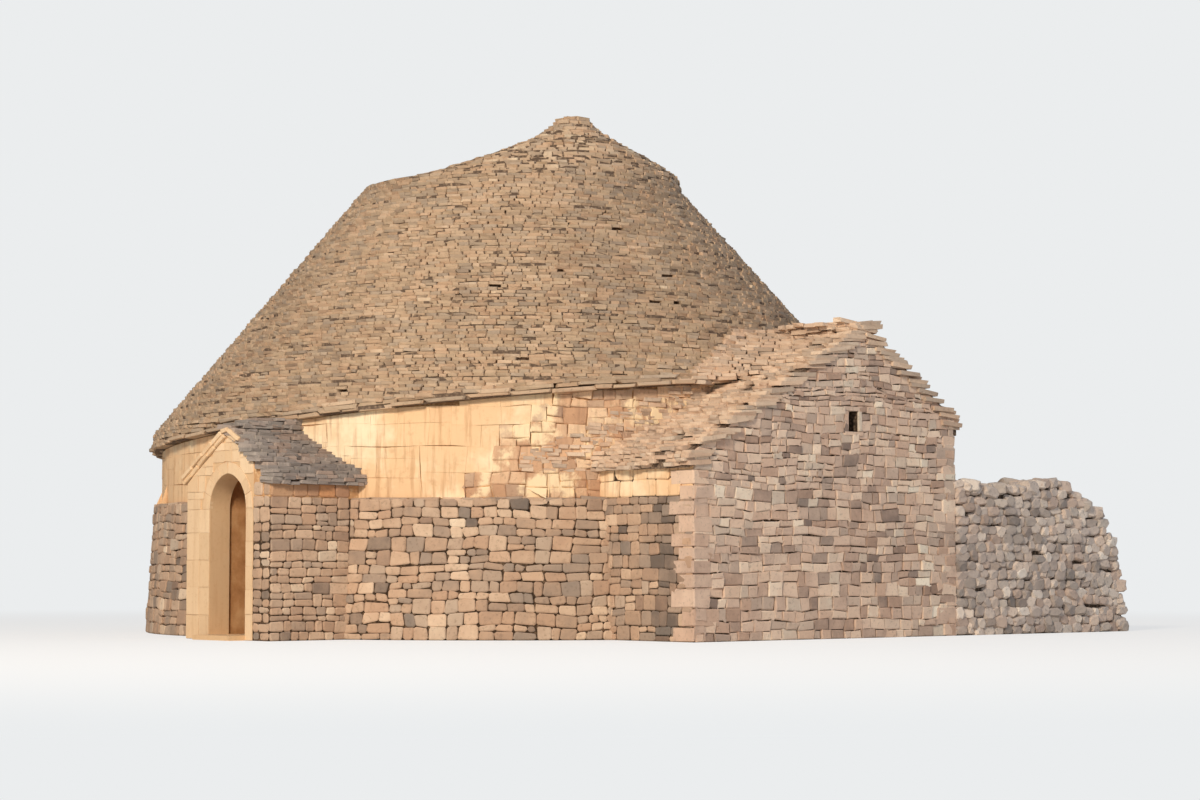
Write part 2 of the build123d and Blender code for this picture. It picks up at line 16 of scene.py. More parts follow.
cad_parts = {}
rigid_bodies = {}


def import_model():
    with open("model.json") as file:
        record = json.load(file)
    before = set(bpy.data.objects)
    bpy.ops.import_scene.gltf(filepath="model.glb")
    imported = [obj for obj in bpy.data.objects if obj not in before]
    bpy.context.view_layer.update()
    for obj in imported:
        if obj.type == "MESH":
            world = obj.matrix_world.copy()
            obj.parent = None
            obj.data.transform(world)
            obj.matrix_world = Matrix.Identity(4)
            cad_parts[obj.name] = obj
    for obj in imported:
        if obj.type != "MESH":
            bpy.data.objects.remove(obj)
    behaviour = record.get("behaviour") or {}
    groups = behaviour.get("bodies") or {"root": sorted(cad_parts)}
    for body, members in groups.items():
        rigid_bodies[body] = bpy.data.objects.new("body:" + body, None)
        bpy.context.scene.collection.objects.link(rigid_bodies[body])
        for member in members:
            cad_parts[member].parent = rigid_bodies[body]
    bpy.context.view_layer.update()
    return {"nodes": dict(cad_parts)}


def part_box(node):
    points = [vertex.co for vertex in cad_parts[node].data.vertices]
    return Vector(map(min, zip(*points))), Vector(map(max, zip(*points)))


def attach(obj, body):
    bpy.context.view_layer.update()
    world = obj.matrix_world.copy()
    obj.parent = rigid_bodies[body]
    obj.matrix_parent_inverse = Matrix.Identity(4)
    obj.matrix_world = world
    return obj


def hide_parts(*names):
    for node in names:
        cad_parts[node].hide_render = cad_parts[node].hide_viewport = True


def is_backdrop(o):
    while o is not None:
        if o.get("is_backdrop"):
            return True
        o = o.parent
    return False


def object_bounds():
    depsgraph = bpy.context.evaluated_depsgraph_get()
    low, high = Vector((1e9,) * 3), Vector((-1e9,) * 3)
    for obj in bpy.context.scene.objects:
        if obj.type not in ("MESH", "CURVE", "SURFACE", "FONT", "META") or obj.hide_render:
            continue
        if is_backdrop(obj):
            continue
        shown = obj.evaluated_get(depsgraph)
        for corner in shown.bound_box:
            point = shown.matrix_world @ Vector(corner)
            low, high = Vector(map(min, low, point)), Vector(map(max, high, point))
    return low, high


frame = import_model()
nodes = frame["nodes"]

# %% [markdown]
# ## Driving sizes
# The cone of slabs, the drum and the gables are simple forms, so a few radii, heights and slopes
# say where every stone lies. They are the sizes that the builder of such a house would pace out.
# The cone's centre moves with height, because the real one leans a little.

# %% Sizes of the house in metres
IMPOST_Z = 2.10
CONE_X, CONE_Y, CONE_LEAN = 0.174, -0.243, 0.14
CONE_GROWTH = 0.86
SHOULDER_R, SHOULDER_Z = 2.325, 6.40
DRUM_R, EAVE_R = 5.03, 5.15
EAVE_TILT, EAVE_THICKNESS = 1.3, 0.14
EAVE_LOW = SHOULDER_Z - (EAVE_R - SHOULDER_R) / CONE_GROWTH - EAVE_THICKNESS
LEDGE_Z = 1.79
PLINTH_PROUD, PLINTH_BATTER = 0.09, 0.11
UP = Vector((0, 0, 1))


def outward(angle):
    """The level direction at an angle."""
    return Vector((math.cos(angle), math.sin(angle), 0))


def clamp(value, low=0.0, high=1.0):
    """Hold a value between two others."""
    return max(low, min(high, value))


LEAN_WAY = outward(math.radians(-40))
CONE_FOOT = Vector((CONE_X, CONE_Y, 0))


def cone_radius(z):
    """Radius of the slab covering at a height."""
    return SHOULDER_R + CONE_GROWTH * (SHOULDER_Z - z)


def cone_centre(z):
    """Centre of the slab covering at a height."""
    return CONE_FOOT - CONE_LEAN * (z - IMPOST_Z) / (SHOULDER_Z - IMPOST_Z) * LEAN_WAY


def eave_height(point):
    """Height of the tilted line on which the lowest slabs lie."""
    return EAVE_LOW + EAVE_TILT / (EAVE_R * CONE_GROWTH) * (CONE_X * point.x + CONE_Y * point.y)


def wall_face_radius(z):
    """Outer radius of the round wall: battered foot, then the face set back over the ledge."""
    return DRUM_R + PLINTH_PROUD + PLINTH_BATTER * (1 - z / LEDGE_Z) if z < LEDGE_Z else DRUM_R


print("eave underside over the centre", round(EAVE_LOW, 3), "m; foot of the wall", wall_face_radius(0), "m")

# %% Sizes of the porch, the annex and the loose wall
PORCH_FRONT_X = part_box("portal_jamb_left")[0].x
PORCH_Y, PORCH_HALF, PORCH_RIDGE_Z, PORCH_PITCH = -1.37, 0.93, 2.72, 0.66
ARCH_SPRING_Z, ARCH_CROWN_Z, ARCH_HALF, ARCH_RING = 1.66, 2.11, 0.41, 0.15
PORTAL_RIGHT = 0.57
ANNEX_LOW, ANNEX_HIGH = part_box("annex_gable_wall")
ANNEX_RIDGE_X, ANNEX_RIDGE_Z, ANNEX_SLABS = 0.85, 4.07, 0.20
ANNEX_SIDES = {-1: (ANNEX_LOW.x, 2.38), 1: (ANNEX_HIGH.x, 2.95)}  # outer edge and eave height
VENT = (0.51, 0.70, 2.68, 2.95)
RUBBLE_LOW, RUBBLE_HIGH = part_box("rubble_wall")
RUBBLE_PROFILE = [(2.6, 2.08), (3.7, 1.96), (4.8, 2.10), (5.79, 1.71), (6.14, 1.06), (6.35, 0.0)]


def profile_at(profile, place):
    """Read a profile between its rows, which are (place, value, ...)."""
    for (start, *low), (end, *high) in zip(profile, profile[1:]):
        if place <= end:
            return [a + (b - a) * (place - start) / (end - start) for a, b in zip(low, high)]
    return profile[-1][1:]


def annex_top(x):
    """Upper face of the annex roof."""
    edge, eave_z = ANNEX_SIDES[-1 if x < ANNEX_RIDGE_X else 1]
    return eave_z + (x - edge) / (ANNEX_RIDGE_X - edge) * (ANNEX_RIDGE_Z - eave_z)


print("porch front", round(PORCH_FRONT_X, 2), "annex gable", round(ANNEX_LOW.y, 2))

# %% [markdown]
# ## Colours and one helper for shader nodes
# Colours are noted as sRGB hex, as one reads them off a stone in the evening, and turned to the
# linear values that a shader wants. One function adds a node, sets it and links it.


# %% Colour and node helpers
FAR_OFF = 99.0


def linear(code):
    """Turn an sRGB hex colour into a linear RGBA value."""
    parts = [int(code[i:i + 2], 16) / 255 for i in (1, 3, 5)]
    return [p / 12.92 if p <= 0.04045 else ((p + 0.055) / 1.055) ** 2.4 for p in parts] + [1.0]


def add(tree, kind, settings=None, **inputs):
    """Add a node, set its properties, and fill or link its inputs by name or _number."""
    node = tree.nodes.new(kind)
    for key, value in (settings or {}).items():
        setattr(node, key, value)
    for key, value in inputs.items():
        socket = node.inputs[int(key[1:])] if key[1:].isdigit() else node.inputs[key.replace("_", " ")]
        if isinstance(value, bpy.types.NodeSocket):
            tree.links.new(value, socket)
        else:
            socket.default_value = linear(value) if isinstance(value, str) and value[0] == "#" else value
    return node


def sums(tree, operation, *values):
    """The result of a Math node."""
    return add(tree, "ShaderNodeMath", {"operation": operation},
               **{f"_{i}": value for i, value in enumerate(values)}).outputs[0]


def ramp(tree, factor, stops):
    """A colour ramp with the given (position, hex colour) stops."""
    node = add(tree, "ShaderNodeValToRGB", Fac=factor)
    band = node.color_ramp
    while len(band.elements) < len(stops):
        band.elements.new(0.5)
    for element, (place, code) in zip(band.elements, stops):
        element.position = place
        element.color = linear(code)
    return node.outputs["Color"]


def step(tree, value, low, high, top=1.0):
    """A soft step of a value from 0 up to top."""
    return add(tree, "ShaderNodeMapRange", {"interpolation_type": "SMOOTHSTEP"}, Value=value,
               From_Min=low, From_Max=high, To_Max=top).outputs[0]


def mixed(tree, factor, first, second, blend="MIX"):
    """Mix two colours; each may be a socket or a hex code."""
    return add(tree, "ShaderNodeMix", {"data_type": "RGBA", "blend_type": blend},
               _0=factor, _6=first, _7=second).outputs[2]


def clouds(tree, place, size_mm, detail=4.0, roughness=0.6):
    """Soft noise whose blobs are about size_mm across."""
    return add(tree, "ShaderNodeTexNoise", Vector=place, Scale=1000 / size_mm, Detail=detail,
               Roughness=roughness).outputs["Fac"]


def new_surface(name, roughness):
    """A new material, its node tree and the object's coordinates."""
    material = bpy.data.materials.new(name)
    material.use_nodes = True
    tree = material.node_tree
    surface = tree.nodes["Principled BSDF"].inputs
    surface["Roughness"].default_value = roughness
    surface["Specular IOR Level"].default_value = 0.2
    return material, tree, add(tree, "ShaderNodeTexCoord").outputs["Object"]


def coat(material, colour, relief, strength, bump_mm):
    """Join colour and relief to a material's shader, and pass the material on."""
    tree = material.node_tree
    surface = tree.nodes["Principled BSDF"].inputs
    bump = add(tree, "ShaderNodeBump", Height=relief, Strength=strength, Distance=bump_mm / 1000)
    tree.links.new(colour, surface["Base Color"])
    tree.links.new(bump.outputs[0], surface["Normal"])
    return material


print("a warm cream in linear light", [round(part, 3) for part in linear("#e8c9a3")])

# %% [markdown]
# ## Dry limestone
# Every stone came out of the same ground, yet each has its own tone: fresh breaks are cream, long
# weathered faces go grey-brown, and lichen makes dark spots of 20 to 60 mm. The tone of a stone is
# a random number that it carries as an attribute; a slow wave of that number also turns some
# stones pinkish and some grey. Noise in real millimetres adds the rest. Broken limestone is matt,
# so roughness stays near 0.9, and a bump of a few millimetres does what bare facets cannot.


# %% A family of limestone materials
PINKISH, GREYISH = "#c99c7c", "#958e86"


def limestone(name, tones, stain, stain_share, patch_mm=45, grit_mm=9, bump_mm=3.0, wash=None,
              streaks=0.0, tint=0.22):
    """Broken or dressed limestone; tones are (share, hex) stops that the stone's own tone picks."""
    material, tree, place = new_surface(name, 0.92)
    tone = add(tree, "ShaderNodeAttribute", {"attribute_name": "tone"}).outputs["Fac"]
    sway = sums(tree, "MULTIPLY_ADD", clouds(tree, place, patch_mm * 5), 0.5, -0.25)
    wave = sums(tree, "SINE", sums(tree, "MULTIPLY", tone, 190.0))
    layers = [(wave, 0.35, 1.0, tint, PINKISH), (wave, -0.55, -1.0, tint * 1.6, GREYISH),
              (clouds(tree, place, patch_mm, 6.0, 0.65), 0.52, 0.70, stain_share, stain)]
    if wash:
        code, low, high, blot_mm = wash
        layers.append((clouds(tree, place, blot_mm, 5.0), low, high, 1.0, code))
    if streaks:
        stretched = add(tree, "ShaderNodeMapping", Vector=place, Scale=(1.0, 1.0, 0.09)).outputs[0]
        layers.append((clouds(tree, stretched, 80, 5.0), 0.50, 0.68, streaks, stain))
    colour = ramp(tree, sums(tree, "ADD", tone, sway), tones)
    for value, low, high, most, code in layers:
        colour = mixed(tree, step(tree, value, low, high, most), colour, code)
    grit = clouds(tree, place, grit_mm, 4.0, 0.7)
    relief = sums(tree, "MULTIPLY_ADD", clouds(tree, place, patch_mm, 3.0), 2.0, grit)
    return coat(material, colour, relief, 0.8, bump_mm)


ROOF_TONES = [(0.0, "#8d7b69"), (0.3, "#aa937c"), (0.5, "#bca489"), (0.75, "#ccb297"), (1.0, "#e6d2b5")]
ANNEX_TONES = [(0.0, "#a38e7c"), (0.3, "#c4aa94"), (0.5, "#d5bba2"), (0.75, "#e2c9b0"), (1.0, "#f3e2ca")]
# The porch roof's slabs get greyer, darker tones than the other slabs: painted shade for a roof lying in
# shade.
PORCH_SHADE_TONES = [(0.0, "#6f6763"), (0.4, "#928983"), (0.65, "#a59a92"), (0.85, "#bdb0a4"), (1.0, "#e0d2c0")]
WALL_TONES = [(0.0, "#74685f"), (0.25, "#a08b7a"), (0.5, "#c0a289"), (0.75, "#d6bba1"), (1.0, "#eedabf")]
GABLE_TONES = [(0.0, "#8d7b70"), (0.25, "#bfa492"), (0.5, "#dabfaa"), (0.75, "#e9d1ba"), (1.0, "#fbeed8")]
BARE_TONES = [(0.0, "#ad8569"), (0.35, "#cfa583"), (0.65, "#e3bf9c"), (1.0, "#f3dab8")]
WASH_TONES = [(0.0, "#ebc49a"), (0.5, "#eec99e"), (1.0, "#f1cea4")]
OCHRE_TONES = [(0.0, "#b98259"), (0.5, "#cf9a6c"), (1.0, "#dfb080")]
CREAM_TONES = [(0.0, "#ddbb93"), (0.5, "#e8c9a3"), (1.0, "#f1d6b3")]
GREY_TONES = [(0.0, "#8f847c"), (0.4, "#c0b1a6"), (0.7, "#dccdbf"), (1.0, "#f6ebdd")]
roof_stone = limestone("weathered_limestone_slab", ROOF_TONES, "#75665a", 0.38)
annex_slab = limestone("pale_limestone_slab", ANNEX_TONES, "#86735f", 0.32)
porch_slab_in_painted_shade = limestone("grey_lichened_limestone_slab", PORCH_SHADE_TONES, "#5f5955", 0.35)
ochre_stone = limestone("ochre_washed_limestone", OCHRE_TONES, "#8d5f3e", 0.4)
wall_stone = limestone("coursed_limestone_rubble", WALL_TONES, "#6f5c4b", 0.35)
gable_stone = limestone("small_limestone_rubble", GABLE_TONES, "#6f6256", 0.35)
bare_stone = limestone("half_washed_limestone", BARE_TONES, "#94705a", 0.45, streaks=0.25,
                       wash=("#f6ddb6", 0.50, 0.60, 420))
washed_stone = limestone("limewashed_limestone", WASH_TONES, "#c08f66", 0.30, patch_mm=110, grit_mm=7,
                         bump_mm=2.0, wash=("#fbe8c6", 0.48, 0.66, 1100), streaks=0.5, tint=0.02)
portal_stone = limestone("dressed_cream_limestone", CREAM_TONES, "#c3966d", 0.22, grit_mm=6, bump_mm=1.2,
                         streaks=0.2, tint=0.04)
loose_stone = limestone("loose_grey_limestone", GREY_TONES, "#6a635c", 0.4)
print("stone materials", len(bpy.data.materials))

# %% [markdown]
# ## What lies behind the stones
# Between two stones the eye looks into the wall: a shadowed joint with earth and small chips.
# The solids of the walls and the covering play that part. The room, the way in and the vault are
# seen for themselves, so there the same solids show limewash darkened to orange-brown as painted shade, or
# corbelled courses.
# One wall solid has both faces, so its material asks where it is: inside the room or outside.


# %% Joints, linings and paving
ROOM_R = 3.4
# The second way through stops short of the annex gable, so that the vent's reveals keep the dark earth
# colour: painted shade inside the vent.
WAYS_THROUGH = [((-4.0, 4.0), (PORCH_Y, 0.47)), ((0.60, 0.97), (-2.79, 2.79))]


def chip_distance(tree, place):
    """Distance to the middle of the nearest 45 mm chip."""
    return add(tree, "ShaderNodeTexVoronoi", Vector=place, Scale=1000 / 45).outputs["Distance"]


def earth_joint(name, dark, light):
    """Shadowed earth and chips deep in the joints."""
    material, tree, place = new_surface(name, 0.97)
    chips = chip_distance(tree, place)
    return coat(material, ramp(tree, chips, [(0.0, light), (0.6, dark)]), chips, 0.7, 12)


def corbelled_lining(name, radius, course_mm, stone_mm):
    """Courses with drawn joints, unrolled from a round wall that no separate stones cover."""
    material, tree, place = new_surface(name, 0.9)
    x, y, z = add(tree, "ShaderNodeSeparateXYZ", Vector=place).outputs
    length = sums(tree, "MULTIPLY", sums(tree, "ARCTAN2", y, x), radius)
    flat = add(tree, "ShaderNodeCombineXYZ", X=length, Y=z).outputs[0]
    brick = add(tree, "ShaderNodeTexBrick", Vector=flat, Scale=1.0, Color1="#b79c7d", Color2="#a08567",
                Mortar="#4a3a2c", Brick_Width=stone_mm / 1000, Row_Height=course_mm / 1000,
                Mortar_Size=0.006)
    cloud = clouds(tree, place, 130, 6.0)
    shade = ramp(tree, cloud, [(0.3, "#9a9087"), (0.7, "#ffffff")])
    colour = mixed(tree, 0.8, brick.outputs["Color"], shade, "MULTIPLY")
    return coat(material, colour, sums(tree, "MULTIPLY_ADD", brick.outputs["Fac"], -1.5, cloud), 0.8, 8)


def painted_shade_limewash(tree, place):
    """Colour and height of a hand-laid limewash, its cream darkened to orange-brown as painted shade: soft
    clouds of a quarter metre.
    """
    tones = [(0.32, "#a9784e"), (0.5, "#c08f61"), (0.68, "#d2a678")]
    return ramp(tree, clouds(tree, place, 260, 6.0), tones), clouds(tree, place, 35, 4.0)


def washed_lining(name):
    """Limewash over stone, darkened to orange-brown as painted shade, where no separate stones are laid."""
    material, tree, place = new_surface(name, 0.9)
    return coat(material, *painted_shade_limewash(tree, place), 0.7, 4)


def wall_core(name, dark, light, openings, limed_from=FAR_OFF):
    """Earth or lime in the joints outside; in the room and the ways through the wall, limewash darkened to
    orange-brown as painted shade.
    """
    material, tree, place = new_surface(name, 0.93)
    chips = chip_distance(tree, place)
    x, y, z = add(tree, "ShaderNodeSeparateXYZ", Vector=place).outputs
    lime = ramp(tree, chips, [(0.0, "#e6c294"), (0.6, "#c99a6e")])
    earth = ramp(tree, chips, [(0.0, light), (0.6, dark)])
    outside = mixed(tree, step(tree, z, limed_from - 0.02, limed_from + 0.02), earth, lime)
    inside, relief = painted_shade_limewash(tree, place)
    around = sums(tree, "SQRT", sums(tree, "MULTIPLY_ADD", x, x, sums(tree, "MULTIPLY", y, y)))
    share = sums(tree, "LESS_THAN", around, ROOM_R + 0.05)
    for opening in openings:
        in_x, in_y = (sums(tree, "COMPARE", way, *span) for way, span in zip((x, y), opening))
        share = sums(tree, "MAXIMUM", share, sums(tree, "MULTIPLY", in_x, in_y))
    return coat(material, mixed(tree, share, outside, inside), relief, 0.6, 8)


def limestone_paving(name, slab_mm):
    """Worn paving slabs with fine earth-filled joints."""
    material, tree, place = new_surface(name, 0.6)
    size = 1000 / slab_mm
    cells = add(tree, "ShaderNodeTexVoronoi", Vector=place, Scale=size).outputs["Color"]
    rim = add(tree, "ShaderNodeTexVoronoi", {"feature": "DISTANCE_TO_EDGE"}, Vector=place, Scale=size)
    joint = step(tree, rim.outputs["Distance"], 0.0, 0.035)
    slab = ramp(tree, cells, [(0.2, "#a99477"), (0.8, "#cbb496")])
    return coat(material, mixed(tree, joint, "#5b4a3a", slab), joint, 0.6, 6)


wall_joint = earth_joint("earth_in_wall_joints", "#3f342b", "#7d6a59")
roof_joint = earth_joint("shadow_between_slabs", "#66564a", "#97826c")
wash_joint = earth_joint("limewash_run_into_joints", "#9a7350", "#cfa679")
drum_core = wall_core("round_wall_core", "#43352a", "#846b55", WAYS_THROUGH, LEDGE_Z)
annex_core = wall_core("annex_wall_core", "#43372d", "#84705c", WAYS_THROUGH[1:])
vault_lining = corbelled_lining("corbelled_vault_stone", 3.0, 211, 420)
# The reveal's limewash is darkened to orange-brown as painted shade.
reveal_lining = washed_lining("ochre_washed_reveal")
paving = limestone_paving("worn_limestone_paving", 420)
print("materials", len(bpy.data.materials))

# %% [markdown]
# ## Dressing the solids
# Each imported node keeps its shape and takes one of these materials, chosen by what the eye meets
# there: joint colours behind laid stones, linings where the solid itself is the face.

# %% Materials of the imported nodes
DRESS = {"roof_top_stone": annex_slab, "roof": roof_joint, "annex_ridge": roof_joint, "vault": vault_lining,
         "portal": portal_stone, "threshold": portal_stone, "porch_coping": reveal_lining,
         "porch_ceiling": reveal_lining, "floor_paving": paving, "annex": annex_core,
         "haunch": wash_joint, "rubble_wall": wall_joint, "crown_fill": wall_joint, "": drum_core}
for name in nodes:
    slots = nodes[name].data.materials
    slots.clear()
    slots.append(next(material for part, material in DRESS.items() if part in name))
print("dressed nodes", len(nodes))

# %% [markdown]
# ## A handful of stones to copy from
# A roofer picks from a heap; here each heap is a dozen shapes. A slab starts as a unit cube whose
# corners are pushed about and whose outer rim is bevelled, which costs 20 triangles, and a block
# has all its edges worn. A field stone starts as a coarse ball that is squeezed towards a box.


# %% The heaps of stones
HEAP_SIZE = 12


def jitter(bm, chance, amount):
    """Push every corner about a little."""
    for vert in bm.verts:
        vert.co += Vector([chance.uniform(-amount, amount) for _ in range(3)])


def slab_shape(bm, chance):
    """A rough flat stone in a unit cube, facing -Y: only the rim of its outer end is worn."""
    bmesh.ops.create_cube(bm, size=1.0)
    rim = [edge for edge in bm.edges if all(vert.co.y < 0 for vert in edge.verts)]
    jitter(bm, chance, 0.06)
    bmesh.ops.bevel(bm, geom=rim, offset=0.06, offset_type="OFFSET", affect="EDGES",
                    segments=1, profile=0.5, material=-1)
    jitter(bm, chance, 0.02)


def block_shape(bm, chance):
    """A squared stone with worn arrises."""
    bmesh.ops.create_cube(bm, size=1.0)
    jitter(bm, chance, 0.03)
    bmesh.ops.bevel(bm, geom=list(bm.edges), offset=0.05, offset_type="OFFSET", affect="EDGES",
                    segments=1, profile=0.5, material=-1)


def field_stone_shape(bm, chance):
    """A round-edged field stone."""
    bmesh.ops.create_icosphere(bm, subdivisions=2, radius=0.62)
    jitter(bm, chance, 0.07)
    for vert in bm.verts:
        vert.co = Vector([clamp(part, -0.43, 0.43) for part in vert.co])
    jitter(bm, chance, 0.02)


def put(name, data, collection=bpy.context.scene.collection):
    """Make an object of its data and link it."""
    thing = bpy.data.objects.new(name, data)
    collection.objects.link(thing)
    return thing


def to_mesh(bm, name):
    """Turn a bmesh into a mesh and free it."""
    mesh = bpy.data.meshes.new(name)
    bm.to_mesh(mesh)
    bm.free()
    return mesh


def heap(title, make_shape):
    """A collection of stone shapes to pick from."""
    collection = bpy.data.collections.new(title)
    bpy.context.scene.collection.children.link(collection)
    for number in range(HEAP_SIZE):
        bm = bmesh.new()
        make_shape(bm, random.Random(100 + number))
        bmesh.ops.recalc_face_normals(bm, faces=list(bm.faces))
        mesh = to_mesh(bm, f"{title}_{number:02d}")
        put(mesh.name, mesh, collection)
    return collection


HEAPS = (heap("slab_shapes", slab_shape), heap("block_shapes", block_shape),
         heap("field_stone_shapes", field_stone_shape))
slab_heap, block_heap, field_heap = HEAPS

# %% [markdown]
# ## From points to stones
# The node group stands a stone on every point: the point says which shape, how it is turned, how
# large it is and its tone. Realizing the instances gives one ordinary mesh, which is what the
# finished piece keeps, with the object at the origin.


# %% One node group that lays stones
STONE_FACTS = {"kind": "INT", "turn": "FLOAT_VECTOR", "size": "FLOAT_VECTOR", "tone": "FLOAT"}


def laying_group(collection):
    """Geometry Nodes: instance the heap's shapes on points and make them real."""
    tree = bpy.data.node_groups.new("lay_" + collection.name, "GeometryNodeTree")
    for title, way in (("Points", "INPUT"), ("Stones", "OUTPUT")):
        tree.interface.new_socket(name=title, in_out=way, socket_type="NodeSocketGeometry")
    entry = tree.nodes.new("NodeGroupInput")
    leave = tree.nodes.new("NodeGroupOutput")
    shapes = add(tree, "GeometryNodeCollectionInfo", Collection=collection, Separate_Children=True,
                 Reset_Children=True)
    kind, turn, size = [add(tree, "GeometryNodeInputNamedAttribute", {"data_type": STONE_FACTS[title]},
                            Name=title).outputs[0] for title in ("kind", "turn", "size")]
    spin = add(tree, "FunctionNodeEulerToRotation", Euler=turn)
    place = add(tree, "GeometryNodeInstanceOnPoints", Points=entry.outputs[0], Instance=shapes.outputs[0],
                Pick_Instance=True, Instance_Index=kind, Rotation=spin.outputs[0], Scale=size)
    real = add(tree, "GeometryNodeRealizeInstances", Geometry=place.outputs[0])
    tree.links.new(real.outputs[0], leave.inputs[0])
    return tree


LAYING = {collection.name: laying_group(collection) for collection in HEAPS}
LOWEST = 0.002
laid = {}


def finish_piece(name, mesh, material):
    """Turn a mesh into a piece of the house that stays above the ground."""
    mesh.name = name
    for vert in mesh.vertices:
        vert.co.z = max(vert.co.z, LOWEST)
    mesh.materials.clear()
    mesh.materials.append(material)
    piece = put(name, mesh)
    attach(piece, "root")
    mesh.calc_loop_triangles()
    laid[name] = len(mesh.loop_triangles)
    print(name, "triangles", laid[name])
    return piece


def lay(name, stones, collection, material):
    """Turn a list of stones (centre, along, out, size, tone) into one piece."""
    cloud = bpy.data.meshes.new(name + "_points")
    cloud.from_pydata([stone[0] for stone in stones], [], [])
    chance = random.Random(name)
    for title, sort in STONE_FACTS.items():
        cloud.attributes.new(title, sort, "POINT")
    kinds, turns, sizes, tones = (cloud.attributes[title].data for title in STONE_FACTS)
    for index, (_, along, out, size, tone) in enumerate(stones):
        x = Vector(along).normalized()
        z = x.cross(-Vector(out)).normalized()
        kinds[index].value = chance.randrange(HEAP_SIZE)
        turns[index].vector = Matrix((x, z.cross(x), z)).transposed().to_euler()
        sizes[index].vector = size
        tones[index].value = tone
    maker = put(name + "_maker", cloud)
    maker.modifiers.new("lay", "NODES").node_group = LAYING[collection.name]
    depsgraph = bpy.context.evaluated_depsgraph_get()
    mesh = bpy.data.meshes.new_from_object(maker.evaluated_get(depsgraph), preserve_all_data_layers=True,
                                           depsgraph=depsgraph)
    bpy.data.objects.remove(maker)
    return finish_piece(name, mesh, material)


def tone_at(chance, point, spread=0.11):
    """A stone's tone: mostly chance, partly a slow drift over the building."""
    drift = noise.noise(Vector(point) * 0.9) * 0.16 + noise.noise(Vector(point) * 3.1) * 0.10
    return clamp(chance.gauss(0.5, spread) + drift)


# %% [markdown]
# ## The cone of slabs
# Chiancarelle are flat limestone slabs, 30 to 80 mm thick, laid in rings that close in course by
# course, each slab tipped outwards a few degrees so that rain runs off. Their outer ends make the
# roof's face. Courses wander and slabs differ, so radius, height, tilt and tone get small
# seeded errors, and here and there a slab is missing and leaves a dark hole.

# %% Slabs of the main cone
COURSE, SLAB_DEPTH, RIM_R = 0.045, 0.28, EAVE_R + 0.025
FINE_GAP = 0.006
CONE_BANDS = (("lower", 0.0, 3.8), ("middle", 3.8, 4.8), ("upper", 4.8, 9.0))
chance = random.Random(11)


def tipped(out, degrees):
    """An outward direction, tipped down a little so that rain runs off."""
    dip = math.radians(degrees)
    return out * math.cos(dip) - UP * math.sin(dip)


def set_slab(stones, edge, along, out, size):
    """Note a slab by the middle of its outer end; size is (width, depth, thickness)."""
    stones.append((edge - out * size[1] / 2, along, out, size, tone_at(chance, edge)))


def ring_of_slabs(stones, centre, radius, top, thickness, depth, keep, widths):
    """Lay one ring of slabs whose outer ends lie on the circle, with its top at a height."""
    angle = chance.uniform(0, math.tau)
    stop = angle + math.tau
    while angle < stop:
        width = chance.triangular(*widths)
        middle = angle + width / radius / 2
        angle += (width + chance.uniform(0.0, FINE_GAP)) / radius
        out = outward(middle)
        wave = (noise.noise(Vector((middle * 3, top * 1.3, 0))) + 1) * 0.007
        face = radius + wave + clamp(chance.gauss(0, 0.011), -0.006, 0.020)
        lift = noise.noise(Vector((middle * 2.5, top, 7))) * 0.012 + chance.gauss(0, 0.003)
        edge = Vector((centre.x, centre.y, top - thickness / 2 + lift)) + out * face
        reach = math.hypot(edge.x, edge.y)
        if reach > RIM_R:
            edge.x, edge.y = edge.x * RIM_R / reach, edge.y * RIM_R / reach
        if keep(edge):
            pointing = tipped(out, chance.uniform(0, 6))
            swing = Matrix.Rotation(chance.gauss(0, 0.05), 4, "Z")
            along = swing @ Vector((-out.y, out.x, chance.gauss(0, 0.025)))
            size = (width, depth, thickness * chance.uniform(0.92, 1.20))
            set_slab(stones, edge, along, swing @ pointing, size)


HOLES_UNDER, HOLES_FADE = 5.8, 1.4
LEAST_HOLES, MOST_HOLES, SHELTERED = 0.001, 0.020, 0.2


def on_cone(edge):
    """Keep a slab of the cone if it lies over the eave line, and drop a few for the holes."""
    if edge.z < eave_height(edge) + 0.10:
        return False
    weather = clamp((edge.x + 3.0) / 3.0) if edge.y < 0 else SHELTERED
    holes = LEAST_HOLES + MOST_HOLES * weather * clamp((HOLES_UNDER - edge.z) / HOLES_FADE)
    return chance.random() > holes


cone_stones = []
top = SHOULDER_Z
while top > EAVE_LOW - 0.6:
    ring_of_slabs(cone_stones, cone_centre(top), cone_radius(top), top, COURSE, SLAB_DEPTH, on_cone,
                  (0.07, 0.27, 0.14))
    top -= COURSE
for name, low, high in CONE_BANDS:
    band = [stone for stone in cone_stones if low <= stone[0].z < high]
    lay(f"cone_slabs_{name}", band, slab_heap, roof_stone)
print("slabs on the cone", len(cone_stones))

# %% [markdown]
# ## The flatter cap
# Above the shoulder the rings grow small quickly, and their centres creep towards the front
# right, which gives this roof its leaning peak. More of each slab's top shows here. The last
# rings close over the top stone.

# %% Slabs of the cap
CAP_COURSES = 18
CAP_COURSE = 1.0 / CAP_COURSES
CAP_SECTIONS = [(0.0, 2.23, -0.05), (0.18, 1.87, 0.275), (0.48, 1.225, 0.48), (0.79, 0.56, 0.59),
                (1.0, 0.28, 0.60), (1.12, 0.22, 0.60)]  # rise, radius and shift along the lean
CAP_PAINTED_LIGHT = 0.16
CAP_HOLES = 0.003


def cap_ring(number):
    """Centre and radius of one course of the cap."""
    radius, shift = profile_at(CAP_SECTIONS, (number + 0.5) * CAP_COURSE)
    return CONE_FOOT + shift * LEAN_WAY, radius


